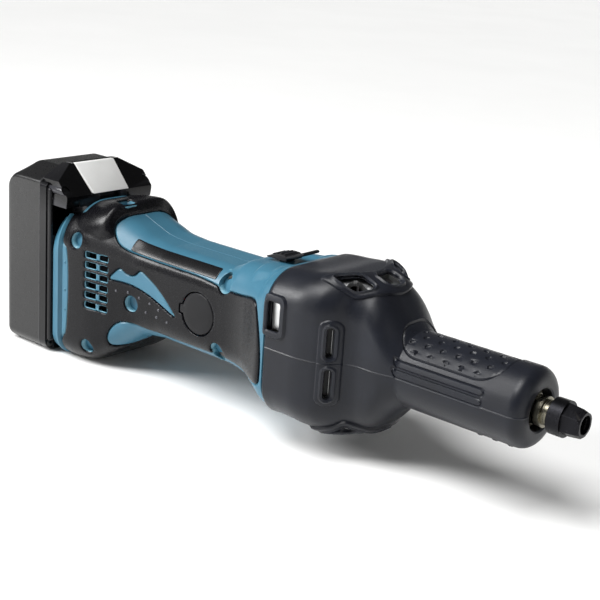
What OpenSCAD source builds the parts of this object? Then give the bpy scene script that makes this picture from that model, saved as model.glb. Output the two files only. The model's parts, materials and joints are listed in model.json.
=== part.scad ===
// Cordless die grinder with a slide-on battery pack.
// The spindle runs along X with its nose towards +X, +Z is up, sizes are in millimetres.
// The origin is the mouth of the collet's bore, on the spindle axis.

/* [Collet and nose] */
// Diameter of the tool shank that the collet takes
shank_d = 6; // [3:0.5:6.5]
// Length of the collet cone
collet_l = 20; // [18:1:24]
// How far the nut's face stands ahead of the collet's mouth
nut_lip = 2; // [1.5:0.5:3]
// Length of the collet nut
nut_l = 19; // [18:0.5:22]
// Diameter of the collet nut
nut_d = 17.6; // [17:0.1:19]
// Width across the nut's wrench flats
nut_flats = 14; // [13.5:0.5:16]
// Diameter of the thread on the spindle's nose
thread_d = 13; // [12.6:0.1:13.4]
// Diameter of the spindle's nose
nose_d = 16; // [15:0.5:17]
// Width across the spindle's wrench flats
nose_flats = 13; // [12:0.5:14]
// Length of spindle that shows between the nut and the neck
nose_gap = 5; // [3:0.5:8]

/* [Neck and boot] */
// Diameter of the rubber neck
neck_d = 42.6; // [41:0.2:48]
// Length of the neck from its front face to the boot's shoulder
neck_l = 72; // [66:1:90]
// Radius that rounds the neck's front edge
neck_round = 7; // [4:0.5:8]
// Diameter of the hole in the neck's front face
neck_hole_d = 22.4; // [20:0.2:25]
// Thickness of the rubber
rubber_t = 3.4; // [2.6:0.1:4]
// Length of the boot behind the neck
boot_l = 74.5; // [70:0.5:85]
// Width of the boot
boot_w = 81; // [79:0.5:90]
// Height of the boot at its rear edge
boot_h = 84; // [82:0.5:90]
// Height over the two lobes that carry the air outlets
lobe_h = 92; // [90:0.5:98]
// Width between the scooped sides in front of the boot
scoop_w = 49; // [47:0.5:56]
// Radius of the boot's corners
boot_corner = 20; // [18:0.5:21]
// How far the frames round the air outlets stand proud
frame_t = 1.6; // [1:0.1:2]
// Width of each outlet window, across the tool
window_w = 11; // [8:0.5:12]
// Length of each outlet window, along the tool
window_l = 15; // [10:0.5:16]
// Distance between the middles of the outlet windows
window_pitch = 18; // [16:0.5:19]
// Width of the side slots
slot_w = 5; // [3:0.5:6]
// Length of the side slots
slot_l = 18; // [12:0.5:19]

/* [Handle] */
// Width of the grip
grip_w = 54; // [53:0.5:60]
// Height of the grip
grip_h = 58; // [57:0.5:64]
// Radius of the grip's corners
grip_corner = 16; // [12:0.5:18]
// Length of the straight grip
grip_l = 52; // [50:1:70]
// Length of the collar that flares from the grip to the boot
collar_l = 47; // [46:0.5:52]
// How far the collar stands inside the boot on each side
collar_step = 0.9; // [0.5:0.1:1.5]
// Height of the collar's top above the axis
collar_top = 41; // [40.4:0.1:41.5]
// Depth of the collar's underside below the axis
collar_bottom = 40.5; // [39:0.5:43]
// Wall of the housing
housing_wall = 2.6; // [2.2:0.1:2.8]
// Thickness of the soft grip
grip_t = 1.6; // [1:0.1:1.8]

/* [Rear bell] */
// Length of the bell behind the grip
bell_l = 86; // [84:1:96]
// Width of the bell
bell_w = 70; // [69:0.5:76]
// Height of the bell's top above the axis
bell_top = 43.5; // [43:0.5:46]
// Depth of the bell's underside below the axis
bell_bottom = 58.5; // [56:0.5:60]
// How far the top edge falls away at the pack
bell_drop = 5.5; // [3:0.5:7]
// Radius of the bell's upper corners
bell_corner = 29; // [24:0.5:31]
// Radius of the bell's lower corners
bell_foot = 14; // [10:0.5:20]
// Height of the soft hood over the bell
hood_top = 46; // [44.5:0.5:48]
// Width of the bay that takes the pack's rail
bay_w = 50; // [48:0.5:52]
// Depth of the bay's floor below the axis
bay_floor = 46; // [45:0.5:49]

/* [Motor] */
// Length of the field yoke
yoke_l = 33; // [28:1:34]
// Wall of the field yoke
yoke_wall = 2.4; // [2:0.1:3]
// Thickness of the magnets
magnet_t = 3.6; // [3:0.1:4.2]
// Diameter of the armature core
core_d = 34; // [30:0.5:35]
// Diameter of the commutator
commutator_d = 24; // [22:0.5:25]
// Length of the commutator
commutator_l = 18; // [16:0.5:19]
// Diameter of the motor shaft
shaft_d = 8; // [7:0.5:9]
// Gap round the cooling fan
fan_gap = 0.8; // [0.6:0.1:4]
// Length of the cooling fan
fan_l = 11; // [8:0.5:12]
// Number of fan blades
fan_blades = 12; // [8:1:14]
// Diameter of the brush covers
brush_cover_d = 26.8; // [24:0.2:28]

/* [Switch] */
// Travel of the slide switch
switch_travel = 6; // [4:0.5:6]
// Width of the switch knob
knob_w = 17; // [15:0.5:20]
// Diameter of the pin that the knob rocks on
knob_pin_d = 2.4; // [2:0.1:2.6]

/* [Battery pack] */
// Room between the cells and the pack's front face
pack_head = 2.6; // [2.6:0.1:7]
// Width of the pack
pack_w = 75; // [74:0.5:80]
// Height of the pack's top above the axis
pack_top = 61.5; // [61:0.5:66]
// Depth of the pack's underside below the axis
pack_bottom = 57.5; // [57:0.5:62]
// Gap between the bell's edge and the pack
pack_gap = 4; // [3:0.5:6]
// Wall of the pack
pack_wall = 2; // [1.6:0.1:2.2]
// Diameter of a cell
cell_d = 18.2; // [18:0.1:18.3]
// Spare depth beside the two rows of cells
cell_gap = 1; // [0.8:0.1:1.4]
// Length of a cell
cell_l = 65; // [60:0.5:65]
// Distance between the middles of the cells
cell_pitch = 19; // [18.8:0.1:19.2]
// Width of the release button
button_w = 30; // [24:0.5:34]
// Travel of the release button
button_travel = 4; // [3:0.5:4.5]

/* [Fits] */
// Running clearance round a turning shaft, on the radius
running_fit = 0.03; // [0.02:0.01:0.08]
// Clearance of a seat in a moulded or cast shell, on the radius
shell_fit = 0.12; // [0.11:0.01:0.2]
// Gap between fixed pieces that are fitted together
seat_gap = 0.3; // [0.1:0.05:0.4]
// Gap between pieces that slide past each other
slide_gap = 0.4; // [0.3:0.05:0.5]

/* [Hidden] */
$fn = 64;
eps = 0.01;
far = 200;

// Places along the spindle axis
nut_rear = nut_lip - nut_l;
neck_front = nut_rear - nose_gap;
boot_front = neck_front - neck_l;
boot_rear = boot_front - boot_l;
collar_front = boot_rear - seat_gap;
grip_front = collar_front - collar_l;
grip_rear = grip_front - grip_l;
flange_x = grip_rear - bell_l;
pack_front = flange_x - pack_gap;
pack_rear = pack_front - pack_head - 2 * cell_d - cell_gap - pack_wall;

// Half sizes
neck_r = neck_d / 2;
boot_y = boot_w / 2;
boot_z = boot_h / 2;
lobe_z = lobe_h / 2;
collar_w = boot_w - 2 * collar_step;
scoop_y = scoop_w / 2;
grip_y = grip_w / 2;
grip_z = grip_h / 2;
corner_steps = 5;

function mix(a, b, t) = a + (b - a) * t;

// A section is [x, half width, top, bottom, upper corner radius, lower corner radius].
// Shares say how far a section has gone from one end of a flare to the other.
function boot_section(f, y, z, r) = [boot_rear + f * boot_l, y, z, -z, r, r];
boot_sections = [
    boot_section(0, boot_y - 1.2, boot_z - 1.2, boot_corner - 1),
    boot_section(0.02, boot_y, boot_z, boot_corner),
    boot_section(0.25, boot_y, mix(boot_z, lobe_z, 0.35), boot_corner),
    boot_section(0.43, mix(boot_y, scoop_y, 0.15), mix(boot_z, lobe_z, 0.85), boot_corner + 1),
    boot_section(0.53, mix(boot_y, scoop_y, 0.45), lobe_z, boot_corner + 1),
    boot_section(0.62, mix(boot_y, scoop_y, 0.9), mix(lobe_z, neck_r, 0.03), boot_corner + 1),
    boot_section(0.72, scoop_y, mix(lobe_z, neck_r, 0.1), boot_corner + 1),
    boot_section(0.8, scoop_y, mix(lobe_z, neck_r, 0.27), boot_corner + 1),
    boot_section(0.86, mix(scoop_y, neck_r, 0.1), mix(lobe_z, neck_r, 0.5), boot_corner + 1),
    boot_section(0.92, mix(scoop_y, neck_r, 0.4), mix(lobe_z, neck_r, 0.78), boot_corner + 1),
    boot_section(1, neck_r, neck_r, neck_r)
];
function neck_section(x, r) = [x, r, r, -r, r, r];
neck_sections = [
    neck_section(boot_front, neck_r),
    neck_section(neck_front - neck_round, neck_r),
    for (a = [30, 60, 90])
        neck_section(neck_front - neck_round * (1 - sin(a)), neck_r - neck_round * (1 - cos(a)))
];

// Shares of the collar's flare: place, width, top, bottom
collar_shares = [
    [0, 0, 0, 0], [0.15, 0.03, 0.3, 0.03], [0.26, 0.08, 0.53, 0.08], [0.45, 0.25, 0.58, 0.2],
    [0.62, 0.5, 0.62, 0.45], [0.79, 0.78, 0.64, 0.75], [0.9, 0.94, 0.9, 0.94], [1, 1, 1, 1]
];
// Shares of the bell's flare: place, width, top, bottom
bell_shares = [
    [0.83, 1, 0.97, 1], [0.65, 0.92, 1, 0.945], [0.48, 0.66, 0.68, 0.69],
    [0.32, 0.33, 0.35, 0.33], [0.18, 0.1, 0.1, 0.07]
];
housing_sections = concat(
    [[flange_x, bell_w / 2, bell_top - bell_drop, -bell_bottom, bell_corner, bell_foot]],
    [for (s = bell_shares) [
        grip_rear - s[0] * bell_l, mix(grip_y, bell_w / 2, s[1]), mix(grip_z, bell_top, s[2]),
        -mix(grip_z, bell_bottom, s[3]), mix(grip_corner, bell_corner, s[0]),
        mix(grip_corner, bell_foot, s[0])
    ]],
    [[grip_rear, grip_y, grip_z, -grip_z, grip_corner, grip_corner]],
    [for (s = collar_shares) [
        grip_front + s[0] * collar_l, mix(grip_y, collar_w / 2, s[1]),
        mix(grip_z, collar_top, s[2]), -mix(grip_z, collar_bottom, s[3]),
        mix(grip_corner, boot_corner, s[0]), mix(grip_corner, boot_corner, s[0])
    ]]
);
hood_front = grip_rear - 38;
grip_edge = flange_x + 9;
hood_sections = [
    [grip_edge - 1, bell_w / 2 - 4, hood_top - 9, -1, bell_corner - 5, 1],
    [grip_edge + 13, bell_w / 2 - 2.5, hood_top - 0.6, -1, bell_corner - 7, 1],
    [hood_front - 9, bell_w / 2 - 4.5, hood_top + 0.5, -1, bell_corner - 11, 1],
    [hood_front, grip_y, hood_top, -1, grip_corner, 1]
];
function shifted(s, dx) = [for (i = [0 : 5]) i == 0 ? s[0] + dx : s[i]];
function through(list) = concat([shifted(list[0], -1)], list, [shifted(list[len(list) - 1], 1)]);

// Points of a rounded outline across the axis, counter-clockwise from the +Y side
function corner(cy, cz, r, from) = [
    for (i = [0 : corner_steps])
        let (a = from + 90 * i / corner_steps) [cy + r * cos(a), cz + r * sin(a)]
];
function outline(s, inset) =
    let (y = s[1] - inset, top = s[2] - inset, low = s[3] + inset)
    let (rt = s[4] - inset, rb = s[5] - inset)
    concat(
        corner(y - rt, top - rt, rt, 0), corner(rt - y, top - rt, rt, 90),
        corner(rb - y, low + rb, rb, 180), corner(y - rb, low + rb, rb, 270)
    );
function ring(s, inset) = [for (p = outline(s, inset)) [s[0], p[0], p[1]]];

// The skin between two neighbouring sections
module span(a, b, inset) {
    n = 4 * (corner_steps + 1);
    hull() polyhedron(concat(ring(a, inset), ring(b, inset)), concat(
        [[for (k = [0 : n - 1]) k], [for (k = [n - 1 : -1 : 0]) n + k]],
        [for (k = [0 : n - 1]) [k, n + k, n + (k + 1) % n]],
        [for (k = [0 : n - 1]) [k, n + (k + 1) % n, (k + 1) % n]]
    ));
}
module loft(sections, inset = 0) {
    for (i = [0 : len(sections) - 2]) span(sections[i], sections[i + 1], inset);
}

// A box from its two corners
module block(low, high) {
    translate(low) cube(high - low);
}
// A cylinder along the spindle axis, or along Y
module rod_x(x0, x1, r) {
    translate([x0, 0, 0]) rotate([0, 90, 0]) cylinder(h = x1 - x0, r = r);
}
module rod_y(x, z, y0, y1, r) {
    translate([x, y0, z]) rotate([-90, 0, 0]) cylinder(h = y1 - y0, r = r);
}
// A turned piece from its [x, radius] profile
module turned(profile) {
    rotate([0, 90, 0]) rotate_extrude() polygon([for (p = profile) [p[1], p[0]]]);
}
module tube_x(x0, x1, r_in, r_out) {
    turned([[x0, r_in], [x1, r_in], [x1, r_out], [x0, r_out]]);
}
// A side-view outline, carried across the tool
module side_plate(points, y0, y1) {
    translate([0, y1, 0]) rotate([90, 0, 0]) linear_extrude(y1 - y0) polygon(points);
}
module rounded_box(x0, x1, y0, y1, r) {
    hull() for (x = [x0 + r, x1 - r], y = [y0 + r, y1 - r]) translate([x, y]) circle(r, $fn = 16);
}
module left_or_right(side) {
    block([-500, side > 0 ? 0 : -far, -far], [100, side > 0 ? far : 0, far]);
}

// Air outlets in the boot and the casting under it
window_x = boot_rear + 0.6 * boot_l;
slot_x = boot_rear + 0.5 * boot_l;
slot_z = 2.5;
side_port_l = 13;
side_port_z = [8.5, 29];
frame_margin = 6;
module window_prisms(grow) {
    for (k = [-1 : 1], up = [0, 1]) mirror([0, 0, up])
        translate([0, 0, scoop_y]) linear_extrude(far) rounded_box(
            window_x - window_l / 2 - grow, window_x + window_l / 2 + grow,
            k * window_pitch - window_w / 2 - grow, k * window_pitch + window_w / 2 + grow, 2.5);
}
module slot_prisms(grow) {
    for (side = [0, 1], up = [0, 1]) mirror([0, side, 0]) mirror([0, 0, up])
        block([slot_x - slot_w / 2 - grow, neck_r * 0.8, slot_z - grow],
            [slot_x + slot_w / 2 + grow, far, slot_z + slot_l + grow]);
}
module frame_prisms() {
    reach = window_pitch + window_w / 2 + frame_margin;
    half = window_l / 2 + frame_margin;
    for (up = [0, 1]) mirror([0, 0, up]) translate([0, 0, scoop_y])
        linear_extrude(far) rounded_box(window_x - half, window_x + half, -reach, reach, 5);
    for (side = [0, 1]) mirror([0, side, 0]) translate([0, neck_r, 0]) rotate([-90, 0, 0])
        linear_extrude(far) rounded_box(slot_x - slot_w / 2 - 3.5, slot_x + slot_w / 2 + 3.5,
            -slot_z - slot_l - 3.5, slot_z + slot_l + 3.5, 5);
}

module rubber_boot() {
    sections = concat(boot_sections, [for (i = [1 : len(neck_sections) - 1]) neck_sections[i]]);
    color("#34363d") difference() {
        union() {
            loft(sections);
            intersection() {
                loft(boot_sections, -frame_t);
                frame_prisms();
            }
        }
        loft(concat([shifted(boot_sections[0], -1)], boot_sections), rubber_t);
        rod_x(boot_front - 1, neck_front - rubber_t, neck_r - rubber_t);
        rod_x(neck_front - 20, neck_front + 1, neck_hole_d / 2);
        window_prisms(0);
        slot_prisms(0);
        for (side = [0, 1]) mirror([0, side, 0])
            block([boot_rear - 1, scoop_y + 8, side_port_z[0]],
                [boot_rear + side_port_l, far, side_port_z[1]]);
    }
}

// Spindle bearings, motor bearings and what carries them: bore, outside diameter, width
small_bearing = [shaft_d, 22, 7];
rear_bearing = [10, 26, 8];
front_bearing = [12, 28, 8];
sleeve_front = neck_front - rubber_t - 0.2;
front_bearing_x = sleeve_front - 12.6 - front_bearing[2];
sleeve_rear = boot_front - 19;
rear_bearing_x = sleeve_rear + 0.2;
front_wall_x = sleeve_rear - 4;
hub_rear = front_wall_x - 32;
front_motor_x = hub_rear + 1;
sleeve_r = neck_r - rubber_t - seat_gap;
casting_wall = 3;
coupling_front = front_wall_x - 0.5;
coupling_rear = coupling_front - 22;
shaft_end = coupling_front - 11;

module ball_bearing(x, size) {
    ri = size[0] / 2;
    ro = size[1] / 2;
    mid = (ri + ro) / 2;
    ball = (ro - ri) * 0.27;
    balls = 7;
    color("silver") {
        difference() {
            tube_x(x, x + size[2], ri + running_fit, mid - ball * 0.55);
            groove(x + size[2] / 2, mid, ball + running_fit);
        }
        difference() {
            tube_x(x, x + size[2], mid + ball * 0.55, ro);
            groove(x + size[2] / 2, mid, ball + running_fit);
        }
        for (k = [0 : balls - 1]) rotate([k * 360 / balls, 0, 0])
            translate([x + size[2] / 2, 0, mid]) sphere(ball, $fn = 32);
    }
}
module groove(x, r, ball) {
    translate([x, 0, 0]) rotate([0, 90, 0]) rotate_extrude() translate([r, 0]) circle(ball);
}
module spindle_front_bearing() {
    ball_bearing(front_bearing_x, front_bearing);
}
module spindle_rear_bearing() {
    ball_bearing(rear_bearing_x, rear_bearing);
}
module front_motor_bearing() {
    ball_bearing(front_motor_x, small_bearing);
}

module front_housing() {
    skin = rubber_t + seat_gap;
    hub_r = small_bearing[1] / 2 + 3.5;
    casting = [for (s = boot_sections) if (s[0] < boot_front - 8) s];
    $fn = 48;
    color("#c9cccd") difference() {
        union() {
            difference() {
                loft(casting, skin);
                intersection() {
                    loft(concat([shifted(casting[0], -1)], casting), skin + casting_wall);
                    block([-500, -far, -far], [front_wall_x, far, far]);
                }
            }
            rod_x(hub_rear, front_wall_x + 1, hub_r);
        }
        rod_x(sleeve_rear - 0.2, boot_front, sleeve_r + shell_fit);
        rod_x(hub_rear - 1, sleeve_rear + 1, 9);
        rod_x(hub_rear - 1, front_motor_x + small_bearing[2] + 0.1, small_bearing[1] / 2 + shell_fit);
        window_prisms(-1.2);
        slot_prisms(-1);
        for (side = [0, 1]) mirror([0, side, 0])
            block([boot_rear - 1, scoop_y + 4, side_port_z[0] + 1],
                [boot_rear + side_port_l - 1, far, side_port_z[1] - 1]);
        sleeve_screw_places() cylinder(h = 12, r = grub_d / 2 + shell_fit);
    }
}

module spindle_sleeve() {
    step_x = front_bearing_x;
    color("#b9bcbe") difference() {
        rod_x(sleeve_rear, sleeve_front, sleeve_r);
        rod_x(sleeve_rear - 1, sleeve_front + 1, 12.4);
        rod_x(step_x, sleeve_front + 1, front_bearing[1] / 2 + running_fit);
        rod_x(sleeve_rear - 1, rear_bearing_x + rear_bearing[2] + 0.1, rear_bearing[1] / 2 + running_fit);
    }
}
grub_d = 5;
module sleeve_screw_places() {
    for (up = [0, 180]) rotate([up, 0, 0]) translate([sleeve_rear + 5, 0, sleeve_r + 0.05]) children();
}
module sleeve_screws() {
    color("#2a2a2c") sleeve_screw_places() difference() {
        cylinder(h = 5, r = grub_d / 2);
        translate([0, 0, 2.5]) cylinder(h = 5, r = 1.4, $fn = 6);
    }
}
module bearing_retainer() {
    x = front_bearing_x + front_bearing[2] + 0.1;
    color("#8d8f92") difference() {
        tube_x(x, x + 5, nose_d / 2 + 1.5, front_bearing[1] / 2);
        for (a = [0, 90]) rotate([a, 0, 0])
            block([x + 3, -front_bearing[1], -1.2], [x + 6, front_bearing[1], 1.2]);
    }
}
module dust_seal() {
    x = front_bearing_x + front_bearing[2] + 5.4;
    color("#55524a") tube_x(x, sleeve_front - 1, nose_d / 2 + 0.15, front_bearing[1] / 2);
}

// Collet, nut and spindle, each with the same taper
taper_front = -3.8;
taper_back = taper_front - 6.4;
collet_r = shank_d / 2 + 1.5;
flare_r = collet_r + 1.25;
mouth_r = collet_r + 0.2;
cone_gap = 0.06;
thread_r = thread_d / 2;

module collet_cone() {
    color("#8c8e90") difference() {
        turned([
            [-collet_l, shank_d / 2], [0, shank_d / 2], [0, mouth_r], [taper_front + 0.3, flare_r],
            [taper_front, flare_r], [taper_back, collet_r], [-collet_l, collet_r]
        ]);
        for (a = [45, 135]) rotate([a, 0, 0])
            block([-collet_l * 0.75, -far, -0.35], [1, far, 0.35]);
    }
}
module collet_nut() {
    chamfer = 3.2;
    inner = [
        [nut_rear, thread_r + 0.1], [taper_front - 0.4, thread_r + 0.1],
        [taper_front - 0.4, flare_r + 0.2], [taper_front + 0.3, flare_r + 0.2],
        [0.1, mouth_r + 0.2], [nut_lip, mouth_r + 0.9]
    ];
    color("#17171a") intersection() {
        turned(concat(inner, [
            [nut_lip, nut_d / 2 - 1.6], [nut_lip - chamfer, nut_d / 2], [nut_rear + 0.6, nut_d / 2],
            [nut_rear, nut_d / 2 - 0.6]
        ]));
        union() {
            rod_x(nut_rear - 1, nut_lip - nut_l * 0.55, nut_d);
            translate([nut_rear, 0, 0]) rotate([0, 90, 0])
                cylinder(h = nut_l + 1, r = nut_flats / sqrt(3), $fn = 6);
        }
    }
}
module spindle() {
    seat = front_bearing_x + front_bearing[2];
    mouth = taper_front - 0.8;
    color("#8b8878") difference() {
        turned([
            [shaft_end + 0.4, 0], [shaft_end + 0.4, shaft_d / 2], [sleeve_rear, shaft_d / 2],
            [sleeve_rear, rear_bearing[0] / 2], [rear_bearing_x + rear_bearing[2], rear_bearing[0] / 2],
            [rear_bearing_x + rear_bearing[2], front_bearing[0] / 2], [seat, front_bearing[0] / 2],
            [seat, nose_d / 2], [nut_rear - 0.3, nose_d / 2], [nut_rear - 0.3, thread_r], [mouth, thread_r],
            [mouth, flare_r + cone_gap], [taper_back, collet_r + cone_gap],
            [-collet_l - 2, collet_r + cone_gap], [-collet_l - 4, 0]
        ]);
        for (side = [0, 180]) rotate([side, 0, 0])
            block([neck_front - 1, -far, nose_flats / 2], [nut_rear - 1.4, far, far]);
    }
}
module drive_coupling() {
    color("#6e7073") difference() {
        rod_x(coupling_rear, coupling_front, shaft_d / 2 + 3.4);
        rod_x(coupling_rear - 1, coupling_front + 1, shaft_d / 2 + running_fit);
    }
}

// Motor
brush_x = grip_front - 13;
yoke_r = grip_y - housing_wall - seat_gap;
yoke_front = collar_front - 5;
yoke_rear = yoke_front - yoke_l;
fan_rear = boot_rear + 2.5;
rear_motor_x = brush_x - 24.5;
core_front = yoke_front - 4;
core_rear = yoke_rear + 3;
core_slots = 10;
slot_r = core_d / 2 - 4;
wire_r = 2.2;

module motor_yoke() {
    color("#7c7f83") tube_x(yoke_rear, yoke_front, yoke_r - yoke_wall, yoke_r);
}
module field_magnets() {
    outer = yoke_r - yoke_wall - 0.05;
    color("#3c3c40") for (k = [0 : 3]) rotate([45 + 90 * k, 0, 0]) intersection() {
        tube_x(yoke_rear + 2, yoke_front - 2, outer - magnet_t, outer);
        block([-500, -far, 0], [0, far, far]);
        rotate([38, 0, 0]) block([-500, 0, -far], [0, far, far]);
        rotate([-38, 0, 0]) block([-500, -far, -far], [0, 0, far]);
    }
}
module armature_shaft() {
    color("#b4b6b8") rod_x(rear_motor_x - 1.5, shaft_end, shaft_d / 2);
}
module armature_core() {
    color("#6a6c70") difference() {
        tube_x(core_rear, core_front, shaft_d / 2 + 0.02, core_d / 2);
        for (k = [0 : core_slots - 1]) rotate([k * 360 / core_slots, 0, 0]) {
            translate([0, 0, slot_r]) rod_x(core_rear - 1, core_front + 1, wire_r + 0.1);
            block([core_rear - 1, -0.9, slot_r], [core_front + 1, 0.9, far]);
        }
    }
}
module armature_windings() {
    color("#b06a34") union() {
        tube_x(core_rear - 5, core_rear - 0.1, shaft_d / 2 + 2, slot_r + wire_r + 0.6);
        tube_x(core_front + 0.1, core_front + 5, shaft_d / 2 + 2, slot_r + wire_r + 0.6);
        for (k = [0 : core_slots - 1]) rotate([k * 360 / core_slots, 0, 0])
            translate([0, 0, slot_r]) rod_x(core_rear - 1, core_front + 1, wire_r);
    }
}
module commutator() {
    x = brush_x - commutator_l / 2;
    bars = 20;
    color("#b87a44") difference() {
        union() {
            tube_x(x, x + commutator_l, shaft_d / 2 + 0.02, commutator_d / 2);
            tube_x(x + commutator_l - 2, x + commutator_l, shaft_d / 2 + 0.02, commutator_d / 2 + 1.5);
        }
        for (k = [0 : bars - 1]) rotate([k * 360 / bars, 0, 0])
            block([x - 1, -0.25, commutator_d / 2 - 1], [x + commutator_l + 1, 0.25, commutator_d]);
    }
}
module cooling_fan() {
    hub = 12;
    vane_t = 1.6;
    rim = boot_y - rubber_t - seat_gap - casting_wall - fan_gap;
    color("#202124") difference() {
        union() {
            rod_x(fan_rear, fan_rear + fan_l, hub);
            rod_x(fan_rear, fan_rear + 1.8, rim);
            for (k = [0 : fan_blades - 1]) rotate([k * 360 / fan_blades, 0, 0])
                block([fan_rear + 0.5, -vane_t / 2, hub - 2],
                    [fan_rear + fan_l, vane_t / 2, rim - 0.6]);
        }
        rod_x(fan_rear - 1, fan_rear + fan_l + 1, shaft_d / 2 + 0.02);
    }
}
module fan_baffle() {
    rim = collar_w / 2 - housing_wall - 0.4;
    color("#2b2c30") tube_x(collar_front - 2.3, collar_front - 0.1, yoke_r - 4, rim);
}
module rear_motor_bearing() {
    ball_bearing(rear_motor_x, small_bearing);
}

// Brush gear, mirrored to both sides of the commutator
holder_r = 6.5;
cap_r = 8;
cover_t = 1.9;
cover_y = grip_y - cover_t;
cap_y = cover_y - 2.6;
brush_tip = commutator_d / 2 + 0.05;
holder_y = brush_tip + 1.2;
brush_size = [5, 8];
module both_sides() {
    for (side = [0, 1]) mirror([0, side, 0]) children();
}
module brush_holders() {
    color("#c2a14e") both_sides() difference() {
        rod_y(brush_x, 0, holder_y, cap_y - 0.1, holder_r);
        block([brush_x - brush_size[0] / 2 - 0.1, 0, -brush_size[1] / 2 - 0.1],
            [brush_x + brush_size[0] / 2 + 0.1, far, brush_size[1] / 2 + 0.1]);
    }
}
module carbon_brushes() {
    color("#26262a") both_sides()
        block([brush_x - brush_size[0] / 2, brush_tip, -brush_size[1] / 2],
            [brush_x + brush_size[0] / 2, cap_y - 4, brush_size[1] / 2]);
}
// One unbroken helix tube along +Z: mean radius, wire radius, length, turns
module coil_spring(r, wire, l, turns) {
    sides = 6;
    rings = 8 * turns;
    function at(i, k) = let (a = 360 * i / 8, b = 360 * k / sides)
        [(r + wire * cos(b)) * cos(a), (r + wire * cos(b)) * sin(a),
            wire + (l - 2 * wire) * i / rings + wire * sin(b)];
    polyhedron([for (i = [0 : rings], k = [0 : sides - 1]) at(i, k)], concat(
        [[for (k = [0 : sides - 1]) k], [for (k = [sides - 1 : -1 : 0]) rings * sides + k]],
        [for (i = [0 : rings - 1], k = [0 : sides - 1])
            let (n = (k + 1) % sides) [i * sides + k, (i + 1) * sides + k, (i + 1) * sides + n]],
        [for (i = [0 : rings - 1], k = [0 : sides - 1])
            let (n = (k + 1) % sides) [i * sides + k, (i + 1) * sides + n, i * sides + n]]
    ));
}
module brush_springs() {
    color("#9a9ca0") both_sides() translate([brush_x, cap_y - 3.9, 0]) rotate([-90, 0, 0])
        coil_spring(1.7, 0.3, 3.7, 3);
}
module brush_caps() {
    color("#1d1d20") both_sides() difference() {
        rod_y(brush_x, 0, cap_y, cover_y - 0.1, cap_r);
        block([brush_x - cap_r, cover_y - 1.2, -0.8], [brush_x + cap_r, far, 0.8]);
    }
}
module brush_cover(side) {
    notch = 2.5;
    color("#26272b") mirror([0, side > 0 ? 0 : 1, 0]) union() {
        rod_y(brush_x, 0, cover_y, grip_y, brush_cover_d / 2);
        block([brush_x - brush_cover_d / 2 - notch, cover_y, -3.5], [brush_x, grip_y, 3.5]);
    }
}
module brush_cover_left() {
    brush_cover(1);
}
module brush_cover_right() {
    brush_cover(-1);
}

// Outline of the soft grip, in side view
panel_front = collar_front - 17;
panel_top = grip_z - 7.5;
panel_low = -grip_z + 7;
function arc_points(c, r, a0, a1, n) = [
    for (i = [0 : n]) let (a = mix(a0, a1, i / n)) [c[0] + r * cos(a), c[1] + r * sin(a)]
];
module grip_region() {
    scoop_r = 11;
    difference() {
        side_plate(concat(
            [[panel_front, panel_top], [panel_front + 7.5, 12], [panel_front + 12, 0],
            [panel_front + 14, panel_low + 8], [panel_front + 14, panel_low]],
            arc_points([hood_front + 6, panel_low - scoop_r], scoop_r, 90, 270, 8),
            [[hood_front + 14, -far], [grip_edge, -far], [grip_edge, far], [hood_front + 14, far],
            [hood_front + 14, panel_top + 2 * scoop_r + 1]],
            arc_points([hood_front + 6, panel_top + scoop_r], scoop_r, 90, 270, 8)
        ), -far, far);
        crescent();
    }
}
// Inlay of the hard housing that shows through the soft grip
module crescent() {
    tip = [brush_x - 19, -6.5];
    left = [tip[0] - 61, 0];
    bite_r = 8.5;
    top = [left[0] + 12, 10.5];
    difference() {
        side_plate([
            left, top, top + [18, 2], top + [26, 0.5], top + [36, -6.5], top + [43, -12.5], tip,
            tip + [-12, 4.5], tip + [-24, 7.5], tip + [-40, 8.5]
        ], -far, far);
        rod_y(top[0] + 9, top[1] + 6, -far, far, bite_r);
    }
}

// Screws that pull the two housing halves together: place along X, height
screw_seat = 17;
screw_end = 16;
screw_d = 4;
head_d = 7.2;
screw_gap = 0.7;
// The switch bar slides just over the motor, and the front upper screw passes under it
bar_z = yoke_r + slide_gap;
screw_places = [
    [grip_front + 3.5, bar_z - screw_d / 2 - screw_gap], [grip_front - 0.5, -grip_z + 8.5],
    [grip_rear - 19.5, -9.2],
    [grip_rear - 64.5, 21.5], [grip_rear - 47, 33], [grip_rear - 54, -45]
];
module at_screws() {
    for (p = screw_places) translate([p[0], 0, p[1]]) children();
}
module housing_screws() {
    color("#2c2c30") at_screws() difference() {
        union() {
            rod_y(0, 0, -screw_seat + 0.05, screw_end, screw_d / 2);
            rod_y(0, 0, -screw_seat - 3, -screw_seat - 0.05, head_d / 2);
        }
        rod_y(0, 0, -screw_seat - 4, -screw_seat - 1.2, 1.6, $fn = 6);
    }
}

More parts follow.
